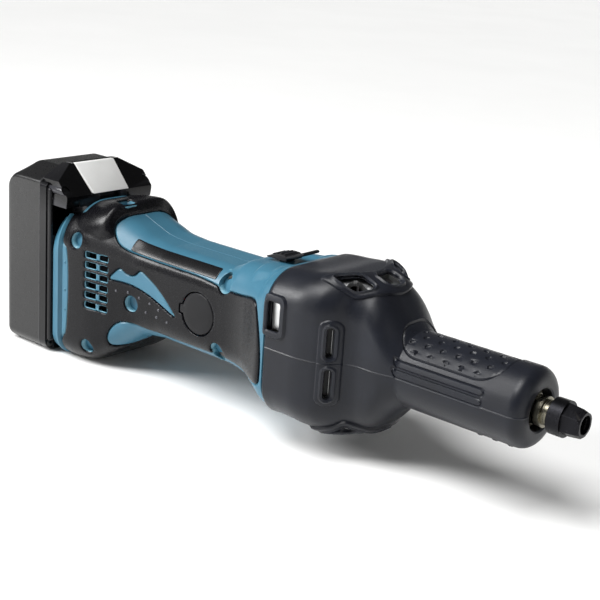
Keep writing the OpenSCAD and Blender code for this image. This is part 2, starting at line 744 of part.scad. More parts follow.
// Inside walls of the housing
bearing_wall = [rear_motor_x - 0.5, rear_motor_x + small_bearing[2] - 0.5];
yoke_rib = [yoke_front - 12, yoke_front - 9];
bulkhead = [flange_x + 15.5, flange_x + 18];
bay_wall = 2.4;
rail_t = 4;
rail_x = [flange_x, flange_x + 4.5];
shelf_x = [grip_rear - 32, grip_rear - 4];
shelf_z = [4, 5.8];
lead_y = 19;
lead_z = 2;
bar_w = 10;
bar_t = 1.6;
module housing_walls() {
    block([bearing_wall[0], -far, -far], [bearing_wall[1], far, far]);
    block([yoke_rib[0], -far, -far], [yoke_rib[1], far, far]);
    block([flange_x, -far, -far], [flange_x + 2.5, far, far]);
    block([flange_x, -bay_w / 2 - bay_wall, -bay_floor - bay_wall],
        [bulkhead[1], bay_w / 2 + bay_wall, far]);
    block([shelf_x[0], -far, shelf_z[0]], [shelf_x[1], far, shelf_z[1]]);
    at_screws() rod_y(0, 0, -far, far, 4.2);
    rod_y(brush_x, 0, -far, -cap_y + 3, cap_r + 2);
    rod_y(brush_x, 0, cap_y - 3, far, cap_r + 2);
}
module rails() {
    both_sides() block([rail_x[0], bay_w / 2 - rail_t, -bay_floor],
        [rail_x[1], bay_w / 2 + 1, bay_floor - 16]);
}
module vent_cuts() {
    rows = 6;
    for (k = [0 : rows - 1], span = [[55.5, 46], [43, 36.5]]) both_sides()
        block([grip_rear - span[0], grip_y - 4, -19 + 6.4 * k],
            [grip_rear - span[1], far, -19 + 6.4 * k + 3.6]);
}
module side_wells() {
    both_sides() {
        rod_y(brush_x, 0, cover_y - 0.05, far, brush_cover_d / 2 + 0.2);
        block([brush_x - brush_cover_d / 2 - 2.7, cover_y - 0.05, -3.7], [brush_x, far, 3.7]);
        rod_y(brush_x, 0, cap_y - 0.05, far, cap_r + 0.1);
        rod_y(brush_x, 0, 0, far, holder_r + 0.1);
    }
    at_screws() {
        rod_y(0, 0, -far, -screw_seat, head_d / 2 + 0.3);
        rod_y(0, 0, -far, screw_end + 1, screw_d / 2 + 0.15);
    }
}
module housing_half(side) {
    $fn = 24;
    color("#5b98ad") intersection() {
        left_or_right(side);
        difference() {
            union() {
                difference() {
                    union() {
                        loft(housing_sections, grip_t);
                        difference() {
                            loft(housing_sections);
                            grip_region();
                            loft(hood_sections);
                        }
                    }
                    loft(through(housing_sections), housing_wall);
                }
                intersection() {
                    loft(housing_sections, housing_wall - 0.2);
                    housing_walls();
                }
            }
            difference() {
                block([flange_x - 1, -bay_w / 2, -bay_floor], [bulkhead[0], bay_w / 2, far]);
                rails();
            }
            latch_notch();
            terminal_hole();
            rod_x(bearing_wall[0] - 1, bearing_wall[1] + 1, small_bearing[1] / 2 + shell_fit);
            rod_x(yoke_rib[0] - 1, yoke_rib[1] + 1, yoke_r + shell_fit, $fn = 72);
            both_sides() translate([0, lead_y, lead_z]) rod_x(bearing_wall[0] - 1, bearing_wall[1] + 1, 2.2);
            block([shelf_x[0] - 20, -bar_w / 2 - 1, bar_z - 1],
                [collar_front, bar_w / 2 + 1, bar_z + bar_t + slide_gap]);
            knob_slot();
            side_wells();
            vent_cuts();
        }
    }
}
module housing_left() {
    housing_half(1);
}
module housing_right() {
    housing_half(-1);
}
module grip_half(side) {
    $fn = 24;
    color("#2e2f36") intersection() {
        left_or_right(side);
        difference() {
            union() {
                intersection() {
                    loft(housing_sections);
                    grip_region();
                }
                loft(hood_sections);
            }
            loft(housing_sections, grip_t);
            side_wells();
            vent_cuts();
            latch_notch();
            block([flange_x - 1, -bay_w / 2, -bay_floor], [bulkhead[0], bay_w / 2, far]);
        }
    }
}
module grip_left() {
    grip_half(1);
}
module grip_right() {
    grip_half(-1);
}
module rating_plate() {
    color("#18181b") intersection() {
        difference() {
            loft(housing_sections, -0.35);
            loft(housing_sections, -0.02);
        }
        block([grip_front - 74, -far, panel_top + 0.4], [grip_front - 5, -grip_corner / 2, grip_z - 0.9]);
    }
}

// Switch: the bar slides over the motor, the knob rocks on its pin
knob_x = grip_front + 26;
pad_z = mix(grip_z, collar_top, 0.64);
pin_z = pad_z + 3;
riser = [5, 7];
module knob_slot() {
    block([knob_x - riser[0] / 2 - slide_gap, -riser[1] / 2 - slide_gap, bar_z],
        [knob_x + riser[0] / 2 + switch_travel + slide_gap, riser[1] / 2 + slide_gap, far]);
}
module switch_bar() {
    color("#2f3034") union() {
        block([shelf_x[1] - 14, -bar_w / 2, bar_z], [knob_x + riser[0] / 2, bar_w / 2, bar_z + bar_t]);
        block([knob_x - riser[0] / 2, -riser[1] / 2, bar_z], [knob_x + riser[0] / 2, riser[1] / 2, pin_z]);
        rod_y(knob_x, pin_z, -riser[1] / 2, riser[1] / 2, knob_pin_d / 2 + 0.4);
        rod_y(knob_x, pin_z, -knob_w / 2 + 2, knob_w / 2 - 2, knob_pin_d / 2);
    }
}
module switch_knob() {
    base = pad_z + 0.8;
    lip = boot_z + 1.9;
    rear = knob_x - 12.5;
    front = boot_rear - 0.9;
    color("#1b1b1e") difference() {
        side_plate([
            [rear, base], [rear + 4, base + 2.1], [rear + 10, base + 4.3], [rear + 16, base + 4.9],
            [rear + 18.5, base + 4], [mix(rear + 18.5, front, 0.3), mix(base + 4, lip + 2.6, 0.3)],
            [front - 3, lip + 2.5], [front - 0.8, lip + 2], [front, lip + 0.4], [front - 0.6, lip],
            [rear + 17.5, base + 2.1], [rear + 16.5, base]
        ], -knob_w / 2, knob_w / 2);
        block([knob_x - riser[0] / 2 - 0.6, -riser[1] / 2 - slide_gap, base - 1],
            [knob_x + riser[0] / 2 + 0.6, riser[1] / 2 + slide_gap, pin_z + knob_pin_d / 2 + 0.75]);
        rod_y(knob_x, pin_z, -knob_w / 2 + 1.7, knob_w / 2 - 1.7, knob_pin_d / 2 + running_fit * 2);
    }
}

// Electrics
module switch_unit() {
    color("#232428") union() {
        block([shelf_x[0] + 1, -9, shelf_z[1] + 0.05], [shelf_x[1] - 1, 9, bar_z - 3.4]);
        block([shelf_x[1] - 12, -3, bar_z - 3.5], [shelf_x[1] - 8, 3, bar_z - slide_gap]);
    }
}
controller_front = bulkhead[1] + 25;
module controller() {
    color("#3b3d42")
        block([bulkhead[1] + 0.05, -20, -bay_floor + 7], [controller_front, 20, -20]);
}
terminal_y = 17;
terminal_z = 14;
module terminal_hole() {
    block([bulkhead[0] - 1, -terminal_y - 0.1, -terminal_z - 0.1],
        [bulkhead[1] + 1, terminal_y + 0.1, terminal_z + 0.1]);
}
blade_y = 11;
blade_t = 0.8;
module terminal_block() {
    color("#c9a63a") difference() {
        block([bulkhead[0] - 1.6, -terminal_y, -terminal_z], [bulkhead[1] + 4, terminal_y, terminal_z]);
        blade_slots();
    }
}
module blade_slots() {
    both_sides() block([bulkhead[0] - 5, blade_y - blade_t / 2 - 0.05, -7.05],
        [bulkhead[1] + 6, blade_y + blade_t / 2 + 0.05, 7.05]);
}
module terminal_blades() {
    color("#c98f5a") both_sides()
        block([bulkhead[0] - 9, blade_y - blade_t / 2, -7], [bulkhead[1] + 6, blade_y + blade_t / 2, 7]);
}
// Leads from the brush holders to the controller
lead_route = [
    [brush_x - holder_r - 0.3, lead_y - 2.6, lead_z], [brush_x - 13, lead_y, lead_z],
    [rear_motor_x - 6, lead_y, lead_z], [grip_rear, lead_y - 1.5, lead_z - 20],
    [bulkhead[1] + 30, lead_y - 4, lead_z - 29], [controller_front + 0.1, lead_y - 4, lead_z - 29]
];
// A tube of eight sides swept along points that never run straight up
module swept_tube(route, r) {
    sides = 8;
    last = len(route) - 1;
    function way(i) = let (d = route[min(i + 1, last)] - route[max(i - 1, 0)]) d / norm(d);
    function at(i, k) =
        let (t = way(i), across = cross(t, [0, 0, 1]), a = 360 * k / sides)
        let (u = across / norm(across), v = cross(u, t))
        route[i] + r * (u * cos(a) + v * sin(a));
    polyhedron([for (i = [0 : last], k = [0 : sides - 1]) at(i, k)], concat(
        [[for (k = [sides - 1 : -1 : 0]) k], [for (k = [0 : sides - 1]) last * sides + k]],
        [for (i = [0 : last - 1], k = [0 : sides - 1])
            let (n = (k + 1) % sides) [i * sides + k, (i + 1) * sides + n, (i + 1) * sides + k]],
        [for (i = [0 : last - 1], k = [0 : sides - 1])
            let (n = (k + 1) % sides) [i * sides + k, i * sides + n, (i + 1) * sides + n]]
    ));
}
module motor_leads() {
    color("#a32020") both_sides() swept_tube(lead_route, 1.1);
}

// Battery pack
pack_y = pack_w / 2;
case_front = pack_front - 6;
chamfer_y = 15.5;
chamfer_z = 8.5;
rail_head = [flange_x + 5, bulkhead[0] - 2.3];
rail_head_y = bay_w / 2 - slide_gap;
rail_neck_y = bay_w / 2 - rail_t - slide_gap;
rail_low = -bay_floor + 1.5;
slope_low = 46.6;
slope_crest = pack_top + 2;
slope_top = pack_front + 0.5;
slope_inset = 3;
cheek_low = 20;
pocket_roof = 1.6;
button_z = [slope_low + 1, slope_crest - 2];
pocket_rear = pack_front - button_travel - 5;
function slope_x(z) = mix(rail_head[1], slope_top, (z - slope_low) / (slope_crest - slope_low));
button_rear = slope_x(button_z[1]) - 1.4;
module pack_outline(inset) {
    r = 7 - inset;
    hull() {
        for (s = [-1, 1]) {
            translate([s * (pack_y - 7), -pack_bottom + 7]) circle(r, $fn = 20);
            translate([s * (pack_y - 3), pack_top - chamfer_z - 3]) circle(max(3 - inset, 0.4), $fn = 12);
            translate([s * (pack_y - chamfer_y - 3), pack_top - 3]) circle(max(3 - inset, 0.4), $fn = 12);
        }
    }
}
module pack_prism(x0, x1, inset) {
    translate([x0, 0, 0]) rotate([90, 0, 90]) linear_extrude(x1 - x0) pack_outline(inset);
}
module pack_case() {
    round = 3;
    color("#1e1f22") difference() {
        union() {
            difference() {
                hull() {
                    pack_prism(pack_rear + round, case_front, 0);
                    pack_prism(pack_rear, pack_rear + eps, round);
                }
                pack_prism(pack_rear + pack_wall, case_front + 1, pack_wall);
            }
            pack_screw_places() rod_x(-12, 0, 3);
            block([pocket_rear - 2, -button_w / 2, button_z[0]], [pocket_rear, button_w / 2, pack_top - 1]);
        }
        pack_screw_places() rod_x(-13, 1, 1.55);
        button_pocket();
    }
}
module pack_screw_places() {
    for (s = [-1, 1], z = [-pack_bottom + 4.9, pack_top - chamfer_z - 3.5])
        translate([case_front, s * (pack_y - 4.6), z]) children();
}
module button_pocket() {
    block([pocket_rear, -button_w / 2 - slide_gap, button_z[0] - slide_gap],
        [bulkhead[0], button_w / 2 + slide_gap, pack_top - pocket_roof]);
    block([button_rear - button_travel - slide_gap, -button_w / 2 - slide_gap, button_z[0] - slide_gap],
        [bulkhead[0], button_w / 2 + slide_gap, button_z[1] + slide_gap]);
}
module latch_pocket() {
    block([pack_front - 2, -latch_y - slide_gap, latch_z[0] - slide_gap],
        [bulkhead[0], latch_y + slide_gap, slope_low + 2]);
}
module handle_clear() {
    flange = housing_sections[0];
    loft([shifted(flange, -slide_gap), flange, housing_sections[1]], -slide_gap);
    loft([hood_sections[0], hood_sections[1]], -slide_gap);
}
module pack_cover() {
    color("#101012") difference() {
        union() {
            difference() {
                pack_prism(case_front + 0.05, pack_front, 0);
                pack_prism(case_front - 1, pack_front - pack_wall, pack_wall);
            }
            block([pack_front - 1, -rail_neck_y, rail_low], [rail_head[0] + 1, rail_neck_y, slope_low]);
            block([rail_head[0], -rail_head_y, rail_low], [rail_head[1], rail_head_y, slope_low]);
            difference() {
                intersection() {
                    side_plate([
                        [case_front + 0.05, cheek_low], [grip_edge, cheek_low], [rail_head[1], slope_low - 2],
                        [rail_head[1], slope_low], [slope_top, slope_crest], [case_front + 0.05, slope_crest - 0.4]
                    ], -pack_y, pack_y);
                    translate([0, 0, slope_crest - pack_top + slope_inset])
                        pack_prism(case_front + 0.05, rail_head[1], slope_inset);
                }
                handle_clear();
                pack_prism(case_front - 1, pack_front - pack_wall, pack_wall);
            }
            pack_screw_places() rod_x(0.05, pack_front - case_front - 0.5, 3.4);
        }
        block([pack_front - pack_wall - 1, -rail_neck_y + 2.4, rail_low + 2.4],
            [rail_head[1] - 9.5, rail_neck_y - 2.4, latch_z[0] - 4]);
        button_pocket();
        latch_pocket();
        both_sides() block([bulkhead[0] - 13, blade_y - 1.6, rail_low - 1], [bulkhead[0], blade_y + 1.6, 9]);
        pack_screw_places() {
            rod_x(-1, 20, 1.65);
            rod_x(4, 20, 3);
        }
    }
}
module pack_screws() {
    color("#2c2c30") pack_screw_places() difference() {
        union() {
            rod_x(-10, 4.1, 1.45);
            rod_x(4.05, 5.6, 2.8);
        }
        rod_x(4.6, 7, 1.1, $fn = 6);
    }
}
cell_x = [pack_rear + pack_wall + 0.3 + cell_d / 2, pack_rear + pack_wall + cell_gap + cell_d * 1.5];
cell_z0 = -pack_bottom + pack_wall + 6.3 + cell_d / 2;
module at_cells() {
    for (x = cell_x, k = [0 : 4]) translate([x, 0, cell_z0 + k * cell_pitch]) children();
}
module battery_cells() {
    color("#3f7f9c") at_cells() union() {
        rod_y(0, 0, -cell_l / 2 + 1, cell_l / 2, cell_d / 2);
        rod_y(0, 0, -cell_l / 2, -cell_l / 2 + 1.5, cell_d * 0.3);
    }
}
module cell_holders() {
    color("#2a2b2e") for (s = [-1, 1]) difference() {
        block([cell_x[0] - 4, s * cell_l / 4 - 3, -pack_bottom + pack_wall + 0.05],
            [cell_x[1] + 4, s * cell_l / 4 + 3, cell_z0 + 4 * cell_pitch + cell_d / 2 + 0.9]);
        at_cells() rod_y(0, 0, -far, far, cell_d / 2 + 0.1);
    }
}
module cell_straps() {
    color("#c4c5c6") for (s = [-1, 1], k = [0 : 4])
        block([cell_x[0] - 4, s > 0 ? cell_l / 2 + 0.05 : -cell_l / 2 - 0.25, cell_z0 + k * cell_pitch - 3],
            [cell_x[1] + 4, s > 0 ? cell_l / 2 + 0.25 : -cell_l / 2 - 0.05, cell_z0 + k * cell_pitch + 3]);
}
board_x = pack_front - pack_wall - 0.2;
module pack_board() {
    y = rail_neck_y - 2.6;
    color("#2f6b3c") block([board_x, -y, rail_low + 2.6], [board_x + 1.6, y, latch_z[0] - 5]);
}
module pack_contacts() {
    color("#c98f5a") both_sides() for (s = [-1, 1])
        block([board_x + 1.65, blade_y + s * 1.1 - 0.3, -6], [bulkhead[0] - 4, blade_y + s * 1.1 + 0.3, 6]);
}

// Release button, its latch and springs
latch_y = 8;
latch_z = [37.5, 43];
module latch_notch() {
    block([bulkhead[0] - 1, -latch_y - 1, latch_z[0] - 1.2], [bulkhead[1] + 1, latch_y + 1, far]);
}
module release_button() {
    low = button_z[0];
    high = button_z[1];
    front_low = slope_x(low) + 0.8;
    front_high = slope_x(high) + 0.8;
    color("#d4d5d6") side_plate([
        [button_rear, low], [front_low - 1, low], [front_low, low + 1.2],
        [front_high + 0.6, high - 0.8], [front_high - 0.8, high], [button_rear, high]
    ], -button_w / 2, button_w / 2);
}
module release_latch() {
    low = button_z[0];
    x = rail_head[1];
    color("#2a2b2e") side_plate([
        [x - 8, latch_z[0]], [x + 3.5, latch_z[0]], [x + 3.5, latch_z[0] + 2], [x + 1, latch_z[1]],
        [x - 4, latch_z[1]], [x - 4, low - 0.05], [x - 8, low - 0.05]
    ], -latch_y, latch_y);
}
module button_springs() {
    z = (button_z[0] + button_z[1]) / 2;
    color("#9a9ca0") for (s = [-1, 1]) translate([pocket_rear + 0.05, s * button_w / 4, z])
        rotate([0, 90, 0]) coil_spring(2.2, 0.35, button_rear - pocket_rear - 0.1, 4);
}

housing_left();
housing_right();
grip_left();
grip_right();
housing_screws();
rating_plate();
brush_cover_left();
brush_cover_right();
motor_yoke();
field_magnets();
brush_holders();
carbon_brushes();
brush_springs();
brush_caps();
rear_motor_bearing();
front_motor_bearing();
fan_baffle();
front_housing();
spindle_sleeve();
sleeve_screws();
rubber_boot();
spindle_rear_bearing();
spindle_front_bearing();
bearing_retainer();
dust_seal();
switch_unit();
controller();
terminal_block();
terminal_blades();
motor_leads();
armature_shaft();
armature_core();
armature_windings();
commutator();
cooling_fan();
drive_coupling();
spindle();
collet_cone();
collet_nut();
switch_bar();
switch_knob();
pack_case();
pack_cover();
pack_screws();
battery_cells();
cell_holders();
cell_straps();
pack_board();
pack_contacts();
release_button();
release_latch();
button_springs();
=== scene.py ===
import json
import math
from itertools import chain

import bmesh
import bpy
import numpy as np
from mathutils import Matrix, Vector


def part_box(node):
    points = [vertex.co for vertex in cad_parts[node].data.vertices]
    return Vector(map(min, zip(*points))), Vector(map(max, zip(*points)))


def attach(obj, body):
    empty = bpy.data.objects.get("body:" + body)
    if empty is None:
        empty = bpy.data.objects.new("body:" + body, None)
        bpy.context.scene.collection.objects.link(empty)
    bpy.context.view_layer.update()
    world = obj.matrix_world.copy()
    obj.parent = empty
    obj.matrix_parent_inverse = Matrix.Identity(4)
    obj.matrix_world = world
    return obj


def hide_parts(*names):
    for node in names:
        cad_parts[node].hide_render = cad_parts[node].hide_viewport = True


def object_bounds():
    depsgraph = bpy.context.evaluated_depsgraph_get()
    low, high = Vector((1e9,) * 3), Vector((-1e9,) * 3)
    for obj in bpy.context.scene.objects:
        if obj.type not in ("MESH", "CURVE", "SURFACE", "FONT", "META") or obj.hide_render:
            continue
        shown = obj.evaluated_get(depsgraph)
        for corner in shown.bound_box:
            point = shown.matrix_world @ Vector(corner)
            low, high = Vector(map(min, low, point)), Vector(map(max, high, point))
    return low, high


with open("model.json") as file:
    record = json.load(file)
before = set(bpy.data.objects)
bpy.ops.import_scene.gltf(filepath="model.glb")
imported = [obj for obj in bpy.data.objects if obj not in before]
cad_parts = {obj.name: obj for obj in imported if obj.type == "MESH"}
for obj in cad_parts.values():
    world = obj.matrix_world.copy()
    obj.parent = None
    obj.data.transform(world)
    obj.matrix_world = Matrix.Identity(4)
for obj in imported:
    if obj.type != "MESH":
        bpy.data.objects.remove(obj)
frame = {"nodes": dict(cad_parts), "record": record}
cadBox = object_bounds()
print("frame loaded:", len(frame["nodes"]), "solids")


# Lengths are millimetres in the tool's own frame, and become metres when a mesh is made
def boxOf(node):
    low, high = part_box(node)
    return np.array(low) * 1000, np.array(high) * 1000


bootLow, bootHigh = boxOf("rubber_boot")
shellLow, shellHigh = boxOf("housing_right")
caseLow, caseHigh = boxOf("pack_case")
bootRear, noseEnd = bootLow[0], bootHigh[0] + 2
flangeX, collarX = shellLow[0], shellHigh[0]
gripFront = collarX - 47
gripRear = gripFront - 52
gripEdge = flangeX + 9


def addObject(name, data):
    piece = bpy.data.objects.new(name, data)
    bpy.context.scene.collection.objects.link(piece)
    return piece


# Colour and finish
def hexColour(code):
    channels = [int(code[i:i + 2], 16) / 255 for i in (1, 3, 5)]
    return [c / 12.92 if c <= 0.04045 else ((c + 0.055) / 1.055) ** 2.4 for c in channels] + [1.0]


def addNode(tree, kind, given):
    node = tree.nodes.new(kind)
    for key, value in given.items():
        if isinstance(value, bpy.types.NodeSocket):
            tree.links.new(value, node.inputs[key])
        elif isinstance(key, int) or key in node.inputs:
            node.inputs[key].default_value = value
        else:
            setattr(node, key, value)
    return node


def makeFinish(name, tones, edgeWearAndHighlight, sizes, roughness, settings, stretch=(1, 1, 1)):
    material = bpy.data.materials.new(name)
    material.use_nodes = True
    tree = material.node_tree
    shader = tree.nodes["Principled BSDF"]
    for key, value in settings.items():
        shader.inputs[key].default_value = value
    base, second, edgeWearAndHighlightTone = map(hexColour, tones)
    patchSize, grainSize, depth = sizes
    place = addNode(tree, "ShaderNodeTexCoord", {})
    spread = addNode(tree, "ShaderNodeMapping", {"Scale": stretch, "Vector": place.outputs["Object"]})
    pattern = {"Vector": spread.outputs[0]}
    cloud = addNode(tree, "ShaderNodeTexNoise", pattern | {"Scale": 1000 / patchSize, "Detail": 4.0, "Roughness": 0.6})
    grain = addNode(tree, "ShaderNodeTexNoise", pattern | {"Scale": 1000 / grainSize, "Detail": 2.0})
    tone = addNode(tree, "ShaderNodeMapRange", {1: 0.3, 2: 0.7, 0: cloud.outputs[0]})
    body = addNode(tree, "ShaderNodeMix", {"data_type": "RGBA", 6: base, 7: second, 0: tone.outputs[0]})
    # convex edges take the edges' tone: rubbed wear on some finishes, a painted highlight on others
    edge = addNode(tree, "ShaderNodeNewGeometry", {}).outputs["Pointiness"]
    edgeWearAndHighlightMask = addNode(tree, "ShaderNodeMapRange", {1: 0.53, 2: 0.66, 3: 0.0, 4: edgeWearAndHighlight, 0: edge})
    paint = addNode(tree, "ShaderNodeMix", {"data_type": "RGBA", 7: edgeWearAndHighlightTone, 0: edgeWearAndHighlightMask.outputs[0], 6: body.outputs[2]})
    tree.links.new(paint.outputs[2], shader.inputs["Base Color"])
    low, high = roughness
    rough = addNode(tree, "ShaderNodeMapRange", {0: grain.outputs[0], 1: 0.3, 2: 0.7, 3: low, 4: high})
    tree.links.new(rough.outputs[0], shader.inputs["Roughness"])
    bump = addNode(tree, "ShaderNodeBump", {"Strength": 0.5, "Distance": depth / 1000, "Height": grain.outputs[0]})
    tree.links.new(bump.outputs[0], shader.inputs["Normal"])
    return material


# Finishes by material slot: name, the body's two tones and the edges' tone, how much the edges take it (rubbed wear
# on some finishes, a painted highlight on others), sizes of patches, grain and the grain's depth in millimetres,
# roughness from and to, shader settings, stretch of the pattern
looks = {
    # Glass-filled nylon, moulded: even blue-green with a fine spark-eroded grain, its edges painted paler as a painted
    # highlight where they catch the light
    "housing_plastic": ("nylonMouldedTeal", ("#34647a", "#3b6c81", "#86bccb"), 0.55, (30, 0.9, 0.05), (0.32, 0.42),
        {"IOR": 1.53, "Specular IOR Level": 0.36}),
    # Thermoplastic elastomer overmould: charcoal, satin, soft highlights
    "soft_grip": ("elastomerOvermouldCharcoal", ("#08080b", "#0c0c10", "#3c3c46"), 0.3, (22, 0.8, 0.05), (0.22, 0.3),
        {"IOR": 1.5, "Specular IOR Level": 0.2}),
    # The same elastomer painted a paler grey for the pips, a painted highlight on them
    "pip_highlight_grip": ("elastomerPipGreyPaintedHighlight", ("#3a3a40", "#48484e", "#84848a"), 0.3, (4, 0.6, 0.02), (0.24, 0.34),
        {"IOR": 1.5}),
    # Moulded rubber: matt slate black, greyer along its edges, dusty broad highlights
    "boot_rubber": ("rubberMouldedSlate", ("#101219", "#161922", "#50545d"), 0.4, (26, 0.7, 0.07), (0.31, 0.42),
        {"IOR": 1.52, "Specular IOR Level": 0.28, "Sheen Weight": 0.03}),
    # Black moulded plastic, satin
    "black_plastic": ("polyamideMouldedBlack", ("#121214", "#17171a", "#3c3c42"), 0.3, (18, 0.7, 0.05), (0.34, 0.46),
        {"IOR": 1.5, "Specular IOR Level": 0.2}),
    # Polished polycarbonate blend: deep black with mirror-like reflections, its edges painted paler as a painted
    # highlight
    "pack_gloss": ("polycarbonatePolishedBlack", ("#040405", "#060607", "#5c5c62"), 0.35, (30, 1.2, 0.01), (0.14, 0.2),
        {"IOR": 1.58, "Specular IOR Level": 0.2}),
    # The same blend from a finely blasted mould: softer, greyer reflections, pale along the edges as a painted
    # highlight
    "pack_satin": ("polycarbonateSatinBlack", ("#0e0e0f", "#131314", "#a4a4a8"), 0.6, (30, 1.0, 0.02), (0.26, 0.34),
        {"IOR": 1.58, "Specular IOR Level": 0.36}),
    # Polyester label film, printed black: thin, flat and slightly glossy
    "label_film": ("polyesterFilmBlack", ("#0b0b0d", "#0f0f11", "#303034"), 0.1, (12, 0.6, 0.002), (0.26, 0.29),
        {"IOR": 1.6, "Specular IOR Level": 0.2}),
    # Light grey polyamide, moulded: a fine even grain
    "button_plastic": ("polyamideMouldedLightGrey", ("#dededc", "#e4e4e2", "#efefee"), 0.3, (14, 0.7, 0.05),
        (0.4, 0.52), {"IOR": 1.5}),
    # Black oxide steel: dark blue-black, bare bright steel on its worn corners
    "dark_steel": ("steelBlackOxide", ("#17171a", "#202024", "#6c6a66"), 0.8, (6, 0.5, 0.02), (0.26, 0.4),
        {"Metallic": 0.85}, (1, 0.2, 0.2)),
    # Ground steel: fine grinding lines round the axis
    "ground_steel": ("steelGroundBright", ("#b2b0aa", "#c2c0ba", "#e0deda"), 0.4, (3, 0.45, 0.02), (0.2, 0.34),
        {"Metallic": 1.0}, (1, 0.05, 0.05)),
    # Turned spindle steel with an oily olive tone
    "spindle_steel": ("steelTurnedOiled", ("#7e7a6c", "#8e8a7b", "#bcb9ac"), 0.5, (3, 0.5, 0.03), (0.22, 0.36),
        {"Metallic": 1.0}, (1, 0.05, 0.05)),
    # Die-cast aluminium, lightly blasted: bright with a soft sparkle
    "cast_alloy": ("aluminiumDieCast", ("#c3c4c4", "#d6d7d7", "#f0f0f0"), 0.4, (5, 0.6, 0.05), (0.28, 0.42),
        {"Metallic": 1.0}),
    # Drawn brass
    "brass": ("brassDrawn", ("#b08d4a", "#c3a25c", "#e4cf96"), 0.4, (5, 0.5, 0.02), (0.22, 0.36), {"Metallic": 1.0}),
    # Enamelled copper wire
    "copper": ("copperEnamelled", ("#8f5128", "#a8653a", "#d29a6c"), 0.3, (3, 0.6, 0.05), (0.2, 0.32),
        {"Metallic": 0.9}),
    # Sintered ferrite and carbon: dull dark grey with an open grain
    "ferrite": ("ferriteSintered", ("#2e2e32", "#3a3a3e", "#5c5c60"), 0.3, (4, 0.4, 0.06), (0.55, 0.75), {"IOR": 1.6}),
    # Pressed felt
    "seal_felt": ("feltPressed", ("#4e4b40", "#5c584c", "#787466"), 0.2, (2, 0.4, 0.2), (0.85, 0.95),
        {"Sheen Weight": 0.3}),
    # Silicone wire insulation, red
    "lead_insulation": ("siliconeLeadRed", ("#8e1d1d", "#9c2424", "#c05050"), 0.2, (6, 0.6, 0.02), (0.4, 0.5),
        {"IOR": 1.42}),
    # Yellow terminal moulding
    "terminal_plastic": ("polyesterMouldedYellow", ("#b8922c", "#c69f36", "#e0c472"), 0.3, (8, 0.6, 0.04), (0.4, 0.5),
        {"IOR": 1.52}),
    # Shrink sleeve on the cells
    "cell_sleeve": ("vinylShrinkSleeve", ("#3d7f9b", "#4589a5", "#7db4c6"), 0.2, (15, 0.8, 0.02), (0.2, 0.3),
        {"IOR": 1.53}),
    # Nickel strip, rolled
    "nickel": ("nickelRolled", ("#bdbcb6", "#cac9c4", "#e8e8e4"), 0.3, (4, 0.4, 0.02), (0.18, 0.3),
        {"Metallic": 1.0}, (1, 0.1, 1)),
    # Glass-epoxy board with a green resist
    "board": ("glassEpoxyGreen", ("#235c36", "#2b6a40", "#5c9470"), 0.2, (7, 0.5, 0.02), (0.25, 0.35), {"IOR": 1.55}),
}
finishes = {slot: makeFinish(*look) for slot, look in looks.items()}
finishes["carbon"] = finishes["ferrite"]
slots = {subpart["node"]: subpart["material_slot"] for subpart in frame["record"]["subparts"]}


def paintMesh(mesh, finish):
    mesh.materials.clear()
    mesh.materials.append(finishes[finish])


for node, slot in slots.items():
    paintMesh(frame["nodes"][node].data, slot)
print("finishes made:", len(looks))


# Skins: rings of points round the tool's axis, cut along outlines and then raised or sunk
def smoothThrough(places, values, wanted):
    places, values = np.asarray(places, float), np.asarray(values, float)
    gap = np.diff(places)
    slope = np.diff(values) / gap
    lean = np.zeros(len(places))
    same = slope[:-1] * slope[1:] > 0
    with np.errstate(divide="ignore", invalid="ignore"):
        before, after = (2 * gap[1:] + gap[:-1]) / slope[:-1], (gap[1:] + 2 * gap[:-1]) / slope[1:]
        middle = (gap[:-1] + gap[1:]) * 3 / (before + after)
    lean[1:-1] = np.where(same, middle, 0)
    lean[0], lean[-1] = slope[0], slope[-1]
    k = np.clip(np.searchsorted(places, wanted) - 1, 0, len(gap) - 1)
    t = (wanted - places[k]) / gap[k]
    return (values[k] * (1 + 2 * t) * (1 - t) ** 2 + lean[k] * gap[k] * t * (1 - t) ** 2
            + values[k + 1] * t * t * (3 - 2 * t) + lean[k + 1] * gap[k] * t * t * (t - 1))


# The later columns of a table, each smoothed along its first
def alongRows(rows, wanted):
    places, *columns = zip(*rows)
    return [smoothThrough(places, column, wanted) for column in columns]


def ringRadius(angles, half, top, low, cornerTop, cornerLow):
    c, s = np.abs(np.cos(angles)), np.abs(np.sin(angles))
    up = np.sin(angles) >= 0
    height = np.where(up, top, low)
    corner = np.minimum(np.where(up, cornerTop, cornerLow), np.minimum(half, height))
    flat = np.minimum(half / np.maximum(c, 1e-9), height / np.maximum(s, 1e-9))
    cy, cz = half - corner, height - corner
    along = c * cy + s * cz
    bent = along + np.sqrt(np.maximum(along ** 2 - cy ** 2 - cz ** 2 + corner ** 2, 0))
    return np.where((c * flat > cy) & (s * flat > cz), bent, flat)


def ringFaces(rings, around):
    return [(i * around + j, i * around + (j + 1) % around, (i + 1) * around + (j + 1) % around, (i + 1) * around + j)
            for i in range(rings - 1) for j in range(around)]


# Columns of a point: x, y, z, length round the ring from the top, and the same from the bottom
def makeSkin(stations, around):
    angles = math.pi / 2 + np.linspace(0, 2 * math.pi, around, endpoint=False)
    rings = []
    for x, *shape in stations:
        radius = ringRadius(angles, *shape)
        y, z = radius * np.cos(angles), radius * np.sin(angles)
        step = np.hypot(np.roll(y, -1) - y, np.roll(z, -1) - z)
        run = np.concatenate([[0], np.cumsum(step)[:-1]])
        fromTop = np.where(run <= step.sum() / 2, run, run - step.sum())
        rings.append(np.stack([np.full(around, x), y, z, fromTop, run - step.sum() / 2], 1))
    return np.concatenate(rings), ringFaces(len(rings), around)


def loopsOf(faces):
    sizes = np.fromiter(map(len, faces), int, len(faces))
    flat = np.fromiter(chain.from_iterable(faces), int, sizes.sum())
    return flat, sizes, np.concatenate([[0], np.cumsum(sizes)[:-1]])


